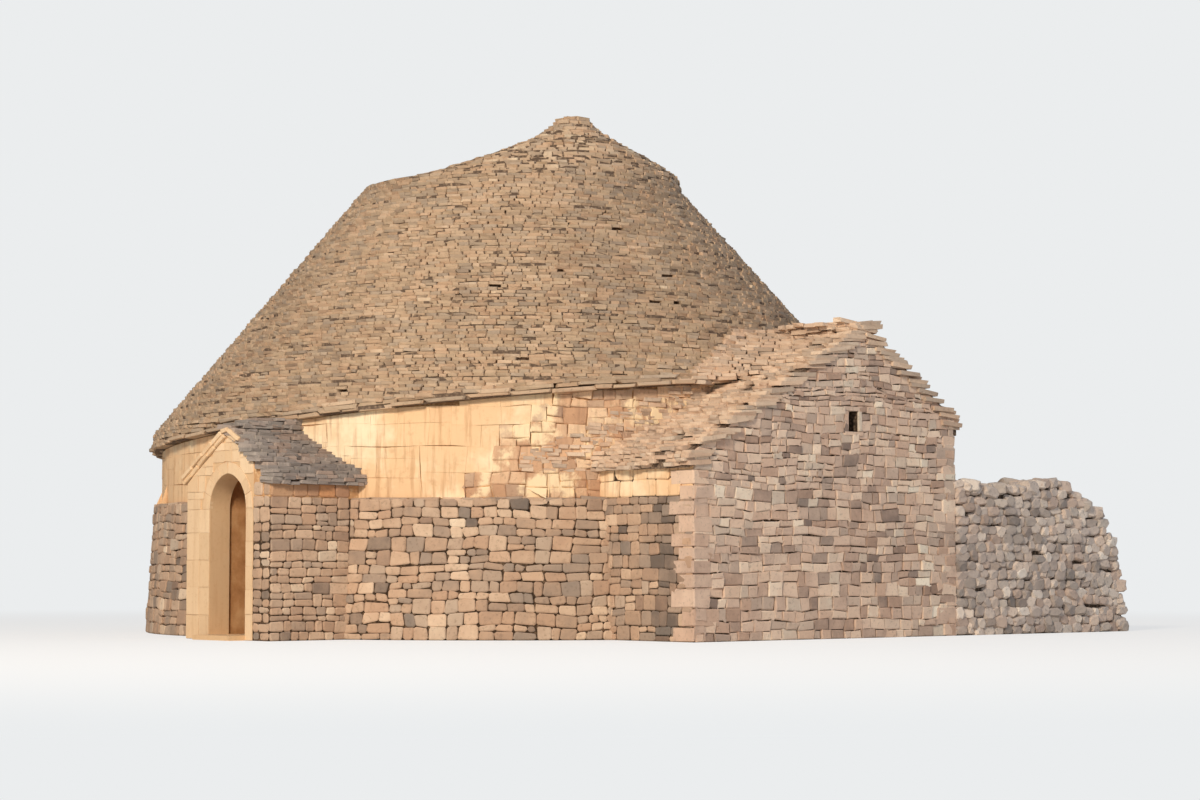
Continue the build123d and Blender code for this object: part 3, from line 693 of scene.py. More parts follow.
cap_stones = []
for number in range(CAP_COURSES + 2):
    centre, radius = cap_ring(number)
    top = SHOULDER_Z + (number + 1) * CAP_COURSE + 0.004
    ring_of_slabs(cap_stones, centre, radius, top, CAP_COURSE, min(0.42, radius + 0.04),
                  lambda edge: chance.random() > CAP_HOLES, (0.08, 0.30, 0.15))
# The cap's slabs are made paler in tone: painted light on the flatter top, where more of each slab's upper
# face shows.
cap_stones = [(*place, min(1.0, tone + CAP_PAINTED_LIGHT)) for *place, tone in cap_stones]
lay("cap_slabs", cap_stones, slab_heap, roof_stone)


# %% The body under the cap's slabs
def onward(bm, face, centre, radius, rise):
    """Extrude a round face in place, give it a new centre and radius, and then lift it."""
    face = bmesh.ops.extrude_discrete_faces(bm, faces=[face])["faces"][0]
    old = face.calc_center_median()
    scale = radius / (face.verts[0].co - old).length
    bmesh.ops.scale(bm, vec=(scale, scale, 1), space=Matrix.Translation(-old), verts=list(face.verts))
    bmesh.ops.translate(bm, vec=(centre.x - old.x, centre.y - old.y, 0), verts=list(face.verts))
    face = bmesh.ops.extrude_discrete_faces(bm, faces=[face])["faces"][0]
    bmesh.ops.translate(bm, vec=(0, 0, rise), verts=list(face.verts))
    return face


bm = bmesh.new()
centre, radius = cap_ring(0)
bmesh.ops.create_circle(bm, cap_ends=True, segments=96, radius=radius + 0.02,
                        matrix=Matrix.Translation((centre.x, centre.y, SHOULDER_Z)))
face = list(bm.faces)[0]
for number in range(CAP_COURSES):
    face = onward(bm, face, *cap_ring(number), CAP_COURSE)
bmesh.ops.recalc_face_normals(bm, faces=list(bm.faces))
cap_core = finish_piece("cap_core", to_mesh(bm, "cap_core"), roof_joint)
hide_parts("roof_cap")

# %% [markdown]
# ## The eave
# The lowest slabs are thin and wide and stand a hand's width out from the wall, so that rain
# drips clear. They follow the wall's top, which climbs towards the right, and throw the thin dark
# line that parts roof from wall.

# %% Eave slabs
EAVE_LAYERS = ((EAVE_R + 0.04, 0.05, 0.028), (EAVE_R + 0.01, 0.055, 0.08), (EAVE_R - 0.01, 0.055, 0.13))
EAVE_DEPTH = 0.42
eave_stones = []
for reach, thick, lift in EAVE_LAYERS:
    angle = chance.uniform(0, 0.1)
    while angle < math.tau:
        width = chance.uniform(0.22, 0.58)
        out = outward(angle + width / EAVE_R / 2)
        angle += (width + FINE_GAP) / EAVE_R
        foot = out * (reach + chance.gauss(0, 0.02))
        along = Vector((-out.y, out.x, 0))
        climb = (eave_height(foot + along) - eave_height(foot - along)) / 2
        edge = foot + UP * (eave_height(foot) + lift + chance.gauss(0, 0.007))
        along.z = climb + chance.gauss(0, 0.015)
        set_slab(eave_stones, edge, along, out, (width, EAVE_DEPTH, thick * chance.uniform(0.8, 1.1)))
lay("eave_slabs", eave_stones, slab_heap, roof_stone)

# %% [markdown]
# ## Wall stones from cut outlines
# A dry wall is a puzzle: every stone is dressed just enough to sit against its neighbours. A
# waller works in lifts, about knee high, and fills each with whatever fits: one tall stone here,
# two flat ones there. So a face is cut into lifts, lifts into bays, and each bay is halved again
# and again until its stones are of a size that one can carry. Slow noise then bends the joints.
# Each outline is drawn in by half a joint, its corners are cut, it is extruded to a stone, and
# its face is tilted, inset and pushed out, which rounds the arrises. Last, the flat sheet is laid
# on the wall, straight or round.


# %% Dividing a face into stones
def split_bay(chance, box, sizes, stones):
    """Halve a bay, more or less, until every stone has a size within the given ranges."""
    s0, s1, t0, t1 = box
    (least_wide, most_wide), (least_high, most_high) = sizes
    wide, high = s1 - s0, t1 - t0
    share = chance.uniform(0.36, 0.64)
    if high > most_high or (high > 2 * least_high and chance.random() < 0.12):
        middle = t0 + high * share
        split_bay(chance, (s0, s1, t0, middle), sizes, stones)
        split_bay(chance, (s0, s1, middle, t1), sizes, stones)
    elif wide > most_wide or (wide > 2.2 * least_wide and chance.random() < 0.45):
        middle = s0 + wide * share
        split_bay(chance, (s0, middle, t0, t1), sizes, stones)
        split_bay(chance, (middle, s1, t0, t1), sizes, stones)
    else:
        stones.append(box)


def lay_out(chance, length, low, high, sizes):
    """Rectangles (s0, s1, t0, t1) that fill a wall face from end to end."""
    stones, bottom = [], low
    while bottom < high - 0.01:
        top = bottom + chance.uniform(0.9, 2.1) * sizes[1][1]
        top = high if high - top < sizes[1][0] else top
        start = 0.0
        while start < length - 0.01:
            end = start + chance.uniform(1.0, 2.4) * sizes[0][1]
            end = length if length - end < sizes[0][0] else end
            split_bay(chance, (start, end, bottom, top), sizes, stones)
            start = end
        bottom = top
    return stones


trial = lay_out(random.Random(1), 2.0, 0.0, 1.0, ((0.2, 0.4), (0.14, 0.24)))
print("two square metres of rubble take", len(trial), "stones")


# %% Cutting outlines
TOUCH = 0.001
LEAST_AREA, LEAST_ROUNDNESS = 0.0022, 0.022


def cut(cell, place, away):
    """Cut a cell along a line, if it crosses it, and drop what lies on the away side."""
    beyond = [(vert.co.x - place[0]) * away[0] + (vert.co.y - place[1]) * away[1] for vert in cell.verts]
    if max(beyond, default=0.0) > TOUCH:
        geometry = list(cell.verts) + list(cell.edges) + list(cell.faces)
        bmesh.ops.bisect_plane(cell, geom=geometry, dist=TOUCH / 10, plane_co=(place[0], place[1], 0),
                               plane_no=(away[0], away[1], 0), clear_outer=True)


def well_shaped(cell):
    """False for a sliver, which no waller would bother to lay."""
    area = sum(face.calc_area() for face in cell.faces)
    girth = sum(edge.calc_length() for edge in cell.edges)
    return area > LEAST_AREA and area > LEAST_ROUNDNESS * girth ** 2


noise.seed_set(7)  # vector noise would otherwise start from the clock


def wander(point):
    """How far a joint strays from its line: slowly over a metre, quickly over a stone."""
    return noise.noise_vector(point * 1.3) * 0.034 + noise.noise_vector(point * 6.0) * 0.020


def rectangle(sheet, s0, s1, t0, t1):
    """Add one upright rectangle to a flat sheet."""
    corners = bmesh.ops.create_grid(sheet, x_segments=1, y_segments=1, size=0.5)["verts"]
    bmesh.ops.scale(sheet, vec=(s1 - s0, t1 - t0, 1), verts=corners)
    bmesh.ops.translate(sheet, vec=((s0 + s1) / 2, (t0 + t1) / 2, 0), verts=corners)


def outlines(stones, place, clips, bounds, bend=1.0):
    """One flat outline for each rectangle, bent by noise and cut by the lines of clips(s, t, w)."""
    sheet, scratch = bmesh.new(), bpy.data.meshes.new("scratch")
    for s0, s1, t0, t1 in stones:
        cell = bmesh.new()
        rectangle(cell, s0, s1, t0, t1)
        for vert in cell.verts:
            s, t = vert.co.x, vert.co.y
            shift = wander(Vector(place(s, t, 0))) * bend
            vert.co.x += shift.x * min(1.0, 5 * (s - bounds[0]), 5 * (bounds[1] - s))
            vert.co.y += shift.y * min(1.0, 5 * (t - bounds[2]), 5 * (bounds[3] - t))
        for spot, away in clips((s0 + s1) / 2, (t0 + t1) / 2, s1 - s0):
            cut(cell, spot, away)
        if len(cell.faces) == 1 and well_shaped(cell):
            cell.to_mesh(scratch)
            sheet.from_mesh(scratch)
        cell.free()
    bpy.data.meshes.remove(scratch)
    return sheet


def top_clips(limit):
    """Clips that hold a stone under a sloping top."""
    def clips(s, t, width):
        """One line along the top at each end of the stone."""
        lines = []
        for end in (s - width / 2, s + width / 2):
            slope = (limit(end + 0.01) - limit(end - 0.01)) / 0.02
            lines.append(((end, limit(end)), (-slope, 1)))
        return lines
    return clips


print("the least stone has", round(LEAST_AREA * 1e4), "square centimetres")


# %% Thickening outlines into stones
def in_order(elements, spot):
    """Sort by position, so that seeded chance meets the same stone in every run."""
    return sorted(elements, key=lambda element: tuple(round(c, 4) for c in spot(element)))


def stones_from(sheet, name, place, material, slot, joint=0.013, corner=0.026, proud=0.024, rough=0.012,
                chamfer=0.012, back=0.06, shade=None, spread=0.15):
    """Make every outline of a sheet a closed stone, lay it on the wall and finish the piece."""
    chance = random.Random(name)
    middle_of = bmesh.types.BMFace.calc_center_median
    tone = sheet.faces.layers.float.new("tone")
    rims = bmesh.ops.inset_individual(sheet, faces=list(sheet.faces), thickness=joint * 0.7)["faces"]
    bmesh.ops.delete(sheet, geom=rims, context="FACES")
    if corner:
        bmesh.ops.bevel(sheet, geom=list(sheet.verts), offset=corner, offset_type="OFFSET", affect="VERTICES",
                        segments=1, profile=0.5, material=-1, clamp_overlap=True)
    for face in in_order(sheet.faces, middle_of):
        middle = middle_of(face)
        shift = shade(middle.x, middle.y) if shade else 0.0
        face[tone] = clamp(tone_at(chance, place(middle.x, middle.y, 0), spread) + shift)
    for vert in in_order(sheet.verts, lambda vert: vert.co):
        vert.co += Vector((chance.uniform(-rough, rough) * 0.55, chance.uniform(-rough, rough) * 0.55, -back))
        vert.co.y = max(vert.co.y, 0.004)
    bmesh.ops.recalc_face_normals(sheet, faces=list(sheet.faces))
    for face in sheet.faces:
        if face.normal.z < 0:
            face.normal_flip()
    grown = bmesh.ops.extrude_face_region(sheet, geom=list(sheet.faces), use_keep_orig=True)["geom"]
    tops = in_order([part for part in grown if isinstance(part, bmesh.types.BMFace)], middle_of)
    for face in tops:
        middle = middle_of(face)
        lean = chance.gauss(0, rough * 2.5), chance.gauss(0, rough * 2.5)
        out = back + proud - chamfer * 0.7 + chance.gauss(0, rough * 0.4)
        for vert in face.verts:
            vert.co.z += out + (vert.co.x - middle.x) * lean[0] + (vert.co.y - middle.y) * lean[1]
    bmesh.ops.inset_individual(sheet, faces=tops, thickness=chamfer * 1.3, depth=chamfer * 0.7)
    bmesh.ops.recalc_face_normals(sheet, faces=list(sheet.faces))
    for vert in sheet.verts:
        vert.co = place(*vert.co)
    return finish_piece(name, to_mesh(sheet, name), material)


def cover(name, boxes, place, clips, bounds, material, slot, bend=1.0, **shape):
    """Cover one face of a wall: cut the boxes to outlines and make stones of them."""
    sheet = outlines(boxes, place, clips, bounds, bend)
    return stones_from(sheet, name, place, material, slot, **shape)


def on_drum(s, t, d):
    """From the flat sheet to the round wall."""
    radius = wall_face_radius(t) + d
    return Vector((radius * math.cos(s / DRUM_R), radius * math.sin(s / DRUM_R), t))


def on_plane(start, out):
    """From the flat sheet to an upright plane that faces out."""
    out, start = Vector(out), Vector(start)
    along = UP.cross(out)
    return lambda s, t, d: start + along * s + UP * t + out * d


# %% [markdown]
# ## The round wall
# Below a ledge the drum is squared rubble, each stone at most a foot long and a hand or two high,
# with dark gaps. Above it the wall was limewashed: on the left the wash hides all but fine joints,
# on the right it has worn off rougher stone. One layout serves both; where the wash has gone, its
# blocks are divided once more. Stones that would lie inside the porch or the annex are left out.

# %% Facing stones of the drum
ROUND = math.tau * DRUM_R
ENDLESS = (-FAR_OFF, FAR_OFF)
TOP_BAND = 3.75
WASHED_FROM, WASHED_TO = 120, 222  # degrees round the wall
RUBBLE_SIZES = ((0.12, 0.33), (0.085, 0.20))
WASHED_SIZES = ((0.30, 0.60), (0.18, 0.36))
WORN_SIZES = ((0.13, 0.36), (0.09, 0.22))
EDGE_SIZES = ((0.10, 0.22), (0.08, 0.16))


def free_of_wings(s, t):
    """False where the porch or the annex stands against the drum."""
    x, y, z = on_drum(s, t, 0)
    aside = abs(y - PORCH_Y)
    in_porch = x < -3 and aside < PORCH_HALF - 0.1 and z < PORCH_RIDGE_Z - PORCH_PITCH * aside - 0.1
    in_annex = y < -3 and ANNEX_LOW.x + 0.1 < x < ANNEX_HIGH.x - 0.1 and z < annex_top(x) - 0.25
    return not (in_porch or in_annex)


def eave_clips(s, t, width):
    """Hold the upper wall between the ledge and the eave."""
    lines = [((s, LEDGE_Z), (0, -1))]
    for end in (s - width / 2, s + width / 2):
        before, after = (eave_height(on_drum(end + way, 0, 0)) for way in (-0.05, 0.05))
        lines.append(((end, (before + after) / 2 - 0.005), (-(after - before) / 0.1, 1)))
    return lines


def washed_side(s, t):
    """The stretch of wall that still has its smooth wash: more of it high up, under the eave."""
    worn_from = WASHED_TO + 9 * (t - LEDGE_Z) + 7 * noise.noise(Vector((s * 1.5, t * 2, 3)))
    return WASHED_FROM < math.degrees(s / DRUM_R) % 360 < worn_from


def middles(box):
    """The middle of a box."""
    return (box[0] + box[1]) / 2, (box[2] + box[3]) / 2


def free_corners(box):
    """For each corner of a box, whether it is free of the wings."""
    return [free_of_wings(s, t) for s in box[:2] for t in box[2:]]


def beside_wings(boxes):
    """Drop what lies inside porch or annex; stones on their edge are divided first, to fit closely."""
    kept = []
    for box in boxes:
        if all(free_corners(box)):
            kept.append(box)
        elif any(free_corners(box)):
            parts = []
            split_bay(chance, box, EDGE_SIZES, parts)
            kept += [part for part in parts if any(free_corners(part))]
    return kept


boxes = beside_wings(lay_out(chance, ROUND, 0.0, LEDGE_Z, RUBBLE_SIZES))
cover("drum_rubble_facing", boxes, on_drum, lambda s, t, w: [((0, 0), (0, -1)), ((0, LEDGE_Z), (0, 1))],
      ENDLESS + (0.0, LEDGE_Z), wall_stone, "wall_rubble", 1.4, joint=0.008, corner=0.021, proud=0.026,
      rough=0.017, chamfer=0.013)

smooth, worn = [], []
for box in beside_wings(lay_out(chance, ROUND, LEDGE_Z, TOP_BAND, WASHED_SIZES)):
    if washed_side(*middles(box)):
        smooth.append(box)
    else:
        split_bay(chance, box, WORN_SIZES, worn)
drum_bounds = ENDLESS + (LEDGE_Z, FAR_OFF)
cover("drum_limewashed_facing", smooth, on_drum, eave_clips, drum_bounds, washed_stone, "plastered_wall",
      1.2, joint=0.0013, corner=0.0, proud=0.016, rough=0.002, chamfer=0.003)
cover("drum_half_washed_facing", worn, on_drum, eave_clips, drum_bounds, bare_stone, "plastered_wall",
      1.4, joint=0.006, corner=0.026, proud=0.024, rough=0.015, chamfer=0.014, spread=0.19)

# %% Ledge stones
LEDGE_STONE = (0.24, 0.05)
ledge_stones = []
angle = 0.0
while angle < math.tau:
    width = chance.uniform(0.25, 0.5)
    middle = angle + width / DRUM_R / 2
    angle += (width + 0.008) / DRUM_R
    out = outward(middle)
    reach = DRUM_R + PLINTH_PROUD + 0.015 + chance.gauss(0, 0.010)
    edge = out * reach + UP * (LEDGE_Z - 0.012 + chance.gauss(0, 0.006))
    if free_of_wings(middle * DRUM_R, LEDGE_Z):
        along = (-out.y, out.x, chance.gauss(0, 0.02))
        set_slab(ledge_stones, edge, along, out, (width, *LEDGE_STONE))
lay("drum_ledge_stones", ledge_stones, slab_heap, wall_stone)

# %% [markdown]
# ## The gabled annex
# The gable is built of small rubble that grows thinner towards the top, where it turns into the
# same flat stones as the roof, with longer stones at its corners. A vent of a hand's breadth is
# framed by upright stones. The slopes of the roof and the vent cut the stones beside them.

# %% Annex walls
GABLE_LENGTH = ANNEX_HIGH.x - ANNEX_LOW.x
GABLE_ZONES = ((0.0, 1.9, ((0.13, 0.34), (0.09, 0.19))), (1.9, 2.9, ((0.12, 0.30), (0.08, 0.15))),
               (2.9, ANNEX_RIDGE_Z + 0.05, ((0.12, 0.32), (0.05, 0.10))))
WASH_LINE = 1.80
GREY_STACK, STACK_HALF = 1.17, 0.17


def outer_lines(length, low, high):
    """Lines round an upright rectangular face."""
    return [((0, 0), (-1, 0)), ((length, 0), (1, 0)), ((0, low), (0, -1)), ((0, high), (0, 1))]


def gable_clips(s, t, width):
    """Hold the gable's stones under the roof and clear of the vent."""
    lines = top_clips(lambda s: annex_top(ANNEX_LOW.x + s) - 0.03)(s, t, width)
    lines += outer_lines(GABLE_LENGTH, 0.0, FAR_OFF)
    x = ANNEX_LOW.x + s
    left, right, low, high = VENT
    if left - 0.4 < x < right + 0.4 and low - 0.3 < t < high + 0.3:
        gaps = [(left - x, (left - ANNEX_LOW.x, 0), (1, 0)), (x - right, (right - ANNEX_LOW.x, 0), (-1, 0)),
                (low - t, (0, low), (0, 1)), (t - high, (0, high), (0, -1))]
        lines.append(max(gaps)[1:])
    return lines


def in_vent(s, t):
    """True on the opening."""
    return VENT[0] < ANNEX_LOW.x + s < VENT[1] and VENT[2] < t < VENT[3]


def painted_shade_and_grey_stack(s, t):
    """The side in painted shade, a little darker in tone all over, with one narrow stack of dark grey stones.
    """
    return -0.48 if abs(s - GREY_STACK) < STACK_HALF else -0.10


def side_face(name, start, out, length, low, high, material, slot, sizes, bend=1.0, **shape):
    """One upright strip of wall stones."""
    boxes = lay_out(chance, length, low, high, sizes)
    cover(name, boxes, on_plane(start, out), lambda s, t, w: outer_lines(length, low, high),
          (0.0, length, low, high), material, slot, bend, **shape)


boxes = [box for zone in GABLE_ZONES for box in lay_out(chance, GABLE_LENGTH, *zone)]
boxes = [box for box in boxes if not in_vent(*middles(box))]
cover("annex_gable_facing", boxes, on_plane((ANNEX_LOW.x, ANNEX_LOW.y, 0), (0, -1, 0)), gable_clips,
      (0.0, GABLE_LENGTH, 0.0, FAR_OFF), gable_stone, "wall_rubble", 1.15, joint=0.008, corner=0.026,
      proud=0.028, rough=0.014, chamfer=0.013, spread=0.20)

left_depth, right_depth = (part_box(f"annex_{side}_wall")[1].y - ANNEX_LOW.y for side in ("left", "right"))
left_start = (ANNEX_LOW.x, ANNEX_LOW.y + left_depth, 0)
left_top, right_top = (annex_top(edge) - ANNEX_SLABS for edge in (ANNEX_LOW.x, ANNEX_HIGH.x))
# The lower left side of the annex is a little darker all over as painted shade; its one stack of stones is
# dark grey of itself.
side_face("annex_left_side_rubble", left_start, (-1, 0, 0), left_depth, 0.0, WASH_LINE, wall_stone,
          "wall_rubble", ((0.12, 0.32), (0.085, 0.19)), joint=0.008, corner=0.020, shade=painted_shade_and_grey_stack)
side_face("annex_left_side_limewashed", left_start, (-1, 0, 0), left_depth, WASH_LINE, left_top, washed_stone,
          "plastered_wall", ((0.20, 0.42), (0.12, 0.26)), joint=0.005, corner=0.02, proud=0.020)
side_face("annex_right_side_rubble", (ANNEX_HIGH.x, ANNEX_LOW.y, 0), (1, 0, 0), right_depth, 0.0, right_top,
          wall_stone, "wall_rubble", ((0.17, 0.38), (0.13, 0.22)))

# %% Corner stones and the stones round the vent
QUOIN_LONG, QUOIN_SHORT, QUOIN_PROUD, FRAME_PROUD = 0.40, 0.26, 0.030, 0.026
quoins = []


def set_block(x, z, size, proud, tone=None):
    """Note a block of the gable by its middle; size is (width, depth, height)."""
    centre = Vector((x, ANNEX_LOW.y - proud + size[1] / 2, z))
    quoins.append((centre, (1, 0, 0), (0, -1, 0), size, tone or tone_at(chance, centre)))


for corner_x, side, top in ((ANNEX_LOW.x, -1, 2.12), (ANNEX_HIGH.x, 1, 2.70)):
    z, wide, deep = 0.0, QUOIN_SHORT, QUOIN_LONG
    while z < top - 0.06:
        height = min(chance.uniform(0.15, 0.25), top - z)
        width = wide * chance.uniform(0.8, 1.15)
        size = (width, deep * chance.uniform(0.8, 1.15), height - 0.014)
        set_block(corner_x + side * (QUOIN_PROUD - width / 2), z + height / 2, size, QUOIN_PROUD)
        z += height
        wide, deep = deep, wide
left, right, low, high = VENT
VENT_FRAME = ((left - 0.08, left, low, high, 0.35), (right, right + 0.06, low, high, 0.85),
              (left - 0.12, right + 0.15, high, high + 0.06, 0.55),
              (left - 0.1, right + 0.1, low - 0.05, low, 0.6))
for x0, x1, z0, z1, tone in VENT_FRAME:
    set_block((x0 + x1) / 2, (z0 + z1) / 2, (x1 - x0, 0.30, z1 - z0), FRAME_PROUD, tone)
lay("annex_quoins", quoins, block_heap, gable_stone)

# %% [markdown]
# ## The annex roof
# The annex has the same slabs. Its courses don't stop at a valley line: they sweep round and run
# into the courses of the cone, which is how a dry-stone roofer keeps water out of the corner.
# At every height we therefore follow one line: a straight edge along the annex that turns, with a
# soft blend of about a metre, into the circle of the cone. The gable end is raised a little.

# %% Courses that sweep into the cone
ANNEX_COURSE, ANNEX_DEPTH = 0.048, 0.40
BLEND = 0.85
ANNEX_EAVE_OUT = 0.11
ANNEX_EAVE_DEPTH = 0.245
VERGE_Y = ANNEX_LOW.y - 0.05
VERGE_HOLES = 0.16
STRIDE, TINY = 0.02, 0.001
NUDGES = (Vector((TINY, 0, 0)), Vector((0, TINY, 0)))


def slope_x(side, z):
    """Where one slope of the annex roof lies at a height."""
    edge, eave_z = ANNEX_SIDES[side]
    share = (z - eave_z) / (ANNEX_RIDGE_Z - eave_z)
    return side * min(side * edge + ANNEX_EAVE_OUT, side * (edge + share * (ANNEX_RIDGE_X - edge)))


def roof_distance(point, side, z):
    """Soft union of the annex slope and the cone at a height: zero on the roof's face."""
    over_eave = z > eave_height(point)
    centre = cone_centre(z) if over_eave else Vector((0, 0, 0))
    radius = cone_radius(z) if over_eave else DRUM_R
    to_cone = math.hypot(point.x - centre.x, point.y - centre.y) - radius
    to_slope = side * (point.x - slope_x(side, z))
    blend = BLEND if over_eave else 0.02
    share = max(blend - abs(to_cone - to_slope), 0.0) / blend
    return min(to_cone, to_slope) - share * share * blend / 4, to_cone, to_slope


def course_line(side, z, front):
    """Points along one course, from the verge until it has become a ring of the cone."""
    point, line = Vector((slope_x(side, z), front, 0)), []
    heading = Vector((0, 1, 0))
    for _ in range(400):
        distance, to_cone, to_slope = roof_distance(point, side, z)
        steps = [(roof_distance(point + nudge, side, z)[0] - distance) / TINY for nudge in NUDGES]
        grad = Vector((*steps, 0)).normalized()
        point = point - grad * distance
        line.append((point.copy(), grad.copy()))
        if to_slope > to_cone + BLEND * 0.9 or (to_cone < 0.0 and to_slope < -0.3):
            break
        tangent = Vector((-grad.y, grad.x, 0))
        heading = tangent if tangent.dot(heading) > 0 else -tangent
        point = point + heading * STRIDE
    return line


def gable_lift(y):
    """The gable end of the roof is a little raised."""
    share = clamp((-5.0 - y) / 1.1)
    return 0.03 * share * share * (3 - 2 * share)


def slabs_along(stones, line, z, thickness, depth):
    """Lay one course of slabs along a line of (point, outward) pairs, a stride apart."""
    index = 0
    while index < len(line) - 4:
        width = chance.triangular(0.08, 0.30, 0.16)
        last = min(len(line) - 1, index + max(4, int(width / STRIDE)))
        (first, _), (middle, out), (end, _) = line[index], line[(index + last) // 2], line[last]
        index = last
        width = (end - first).length
        pointing = tipped(out, chance.uniform(1, 8))
        along = (end - first).normalized()
        if along.cross(-out).z < 0:
            along = -along
        along.z = chance.gauss(0, 0.025)
        if middle.y < VERGE_Y + 0.6 and chance.random() < VERGE_HOLES:
            continue
        edge = middle + out * chance.gauss(0.02, 0.016)
        edge += UP * (z + gable_lift(middle.y) + chance.gauss(0, 0.006))
        width = max(0.06, width - chance.uniform(0.0, FINE_GAP))
        set_slab(stones, edge, along, pointing, (width, depth, thickness * chance.uniform(0.95, 1.22)))


annex_stones = []
for side, (_, eave_z) in ANNEX_SIDES.items():
    z = eave_z - ANNEX_EAVE_DEPTH
    while z < ANNEX_RIDGE_Z - 0.01:
        line = course_line(side, z, VERGE_Y + chance.gauss(0, 0.015))
        slabs_along(annex_stones, line, z + ANNEX_COURSE / 2, ANNEX_COURSE, ANNEX_DEPTH)
        z += ANNEX_COURSE
lay("annex_roof_slabs", annex_stones, slab_heap, annex_slab)

# %% Ridge of the annex
RIDGE_TOP = [(-6.30, 4.08), (-5.70, 4.16), (-5.20, 4.13), (-4.90, 4.10), (-4.50, 4.03), (-4.20, 4.00)]
RIDGE_END = -4.45
RIDGE_PLACES = ((-0.13, 0.075), (0.13, 0.075), (0.0, 0.028))  # shift aside and drop of each stone
ridge_stones = []
y = ANNEX_LOW.y + 0.03
while y < RIDGE_END:
    width = chance.uniform(0.16, 0.32)
    ridge_z = profile_at(RIDGE_TOP, y + width / 2)[0]
    for shift, drop in RIDGE_PLACES:
        centre = Vector((ANNEX_RIDGE_X + shift, y + width / 2, ridge_z - drop + chance.gauss(0, 0.008)))
        along = (chance.gauss(0, 0.05), 1, chance.gauss(0, 0.03))
        out = (1, chance.gauss(0, 0.05), -shift * 1.2)
        ridge_stones.append((centre, along, out, (width, 0.30, 0.058), tone_at(chance, centre)))
    y += width + FINE_GAP
ridge = lay("annex_ridge_slabs", ridge_stones, slab_heap, annex_slab)
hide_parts("annex_ridge_stones")

# %% [markdown]
# ## The porch roof
# The porch is a small gable; its slabs run in straight courses back to the drum. On the left they
# stop behind the raking coping, on the right they lie over the front wall and show their ends.

# %% Porch roof slabs
PORCH_COURSE, PORCH_DEPTH = 0.045, 0.28
PORCH_EAVE_LOW, PORCH_EAVE_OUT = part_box("porch_roof_right")[0].z, PORCH_HALF + 0.09
PORCH_RIDGE_END, RIDGE_LAYERS, RIDGE_STEP = -4.80, 3, 0.040
porch_stones = []
for side, front in ((1, PORCH_FRONT_X + 0.12), (-1, PORCH_FRONT_X - 0.03)):
    z = PORCH_EAVE_LOW
    while z < PORCH_RIDGE_Z - 0.01:
        y = PORCH_Y + side * min(PORCH_EAVE_OUT, (PORCH_RIDGE_Z - z) / PORCH_PITCH + 0.015)
        back = -math.sqrt(DRUM_R ** 2 - y ** 2) + 0.08
        start = front + chance.gauss(0, 0.012)
        count = int((back - start) / STRIDE)
        line = [(Vector((start + STRIDE * i, y, 0)), Vector((0, side, 0))) for i in range(count)]
        slabs_along(porch_stones, line, z + PORCH_COURSE / 2, PORCH_COURSE, PORCH_DEPTH)
        z += PORCH_COURSE
for layer in range(RIDGE_LAYERS):
    x = PORCH_FRONT_X + 0.02 + 0.16 * layer
    while x < PORCH_RIDGE_END:
        width = chance.uniform(0.14, 0.28)
        y = PORCH_Y + chance.gauss(0, 0.015)
        z = PORCH_RIDGE_Z + 0.010 + RIDGE_STEP * layer + chance.gauss(0, 0.005)
        centre, along = Vector((x + width / 2, y, z)), (1, 0, chance.gauss(0, 0.03))
        size = (width, 0.34 - 0.05 * layer, 0.046)
        porch_stones.append((centre, along, (0, -1, 0), size, tone_at(chance, centre)))
        x += width + FINE_GAP
# The porch slabs take the greyer, darker tones of painted shade.
lay("porch_roof_slabs", porch_stones, slab_heap, porch_slab_in_painted_shade)

# %% [markdown]
# ## The portal
# The porch front is dressed cream stone round a pointed arch, smoothed by limewash. Its jambs
# have one or two blocks in a course. A voussoir is a wedge: we spin a short edge about the arch's
# centre by the wedge's angle and dissolve the strip into one outline. The spandrels are cut by
# the arch and by the raking roof. All of them are laid on the front plane with hair joints.

# %% Outlines of the portal
VOUSSOIRS = 4
PORTAL_END = PORCH_HALF + PORTAL_RIGHT
JAMBS = ((0.0, PORCH_HALF - ARCH_HALF), (PORCH_HALF + ARCH_HALF, PORTAL_RIGHT - ARCH_HALF))
arch_radius = (ARCH_HALF ** 2 + (ARCH_CROWN_Z - ARCH_SPRING_Z) ** 2) / (2 * ARCH_HALF)
arch_sweep = math.acos((arch_radius - ARCH_HALF) / arch_radius)
hubs = {side: Vector((PORCH_HALF + side * (ARCH_HALF - arch_radius), ARCH_SPRING_Z, 0)) for side in (-1, 1)}


def raking(s):
    """Height of the porch's roof line over its front, softened at the peak."""
    return PORCH_RIDGE_Z - PORCH_PITCH * math.hypot(s - PORCH_HALF, 0.10)


def from_hub(s, t):
    """The centre of the nearer half of the arch, and the way from it to a point."""
    hub = hubs[1 if s > PORCH_HALF else -1]
    return hub, Vector((s, t, 0)) - hub


def spandrel_clips(s, t, width):
    """Keep a block outside the arch, under the roof and inside the portal."""
    hub, way = from_hub(s, t)
    ray = way.normalized()
    rim = hub + ray * (arch_radius + ARCH_RING)
    lines = top_clips(lambda s: raking(s) - 0.10)(s, t, width)
    return lines + outer_lines(PORTAL_END, ARCH_SPRING_Z, FAR_OFF)[:3] + [(rim[:2], (-ray)[:2])]


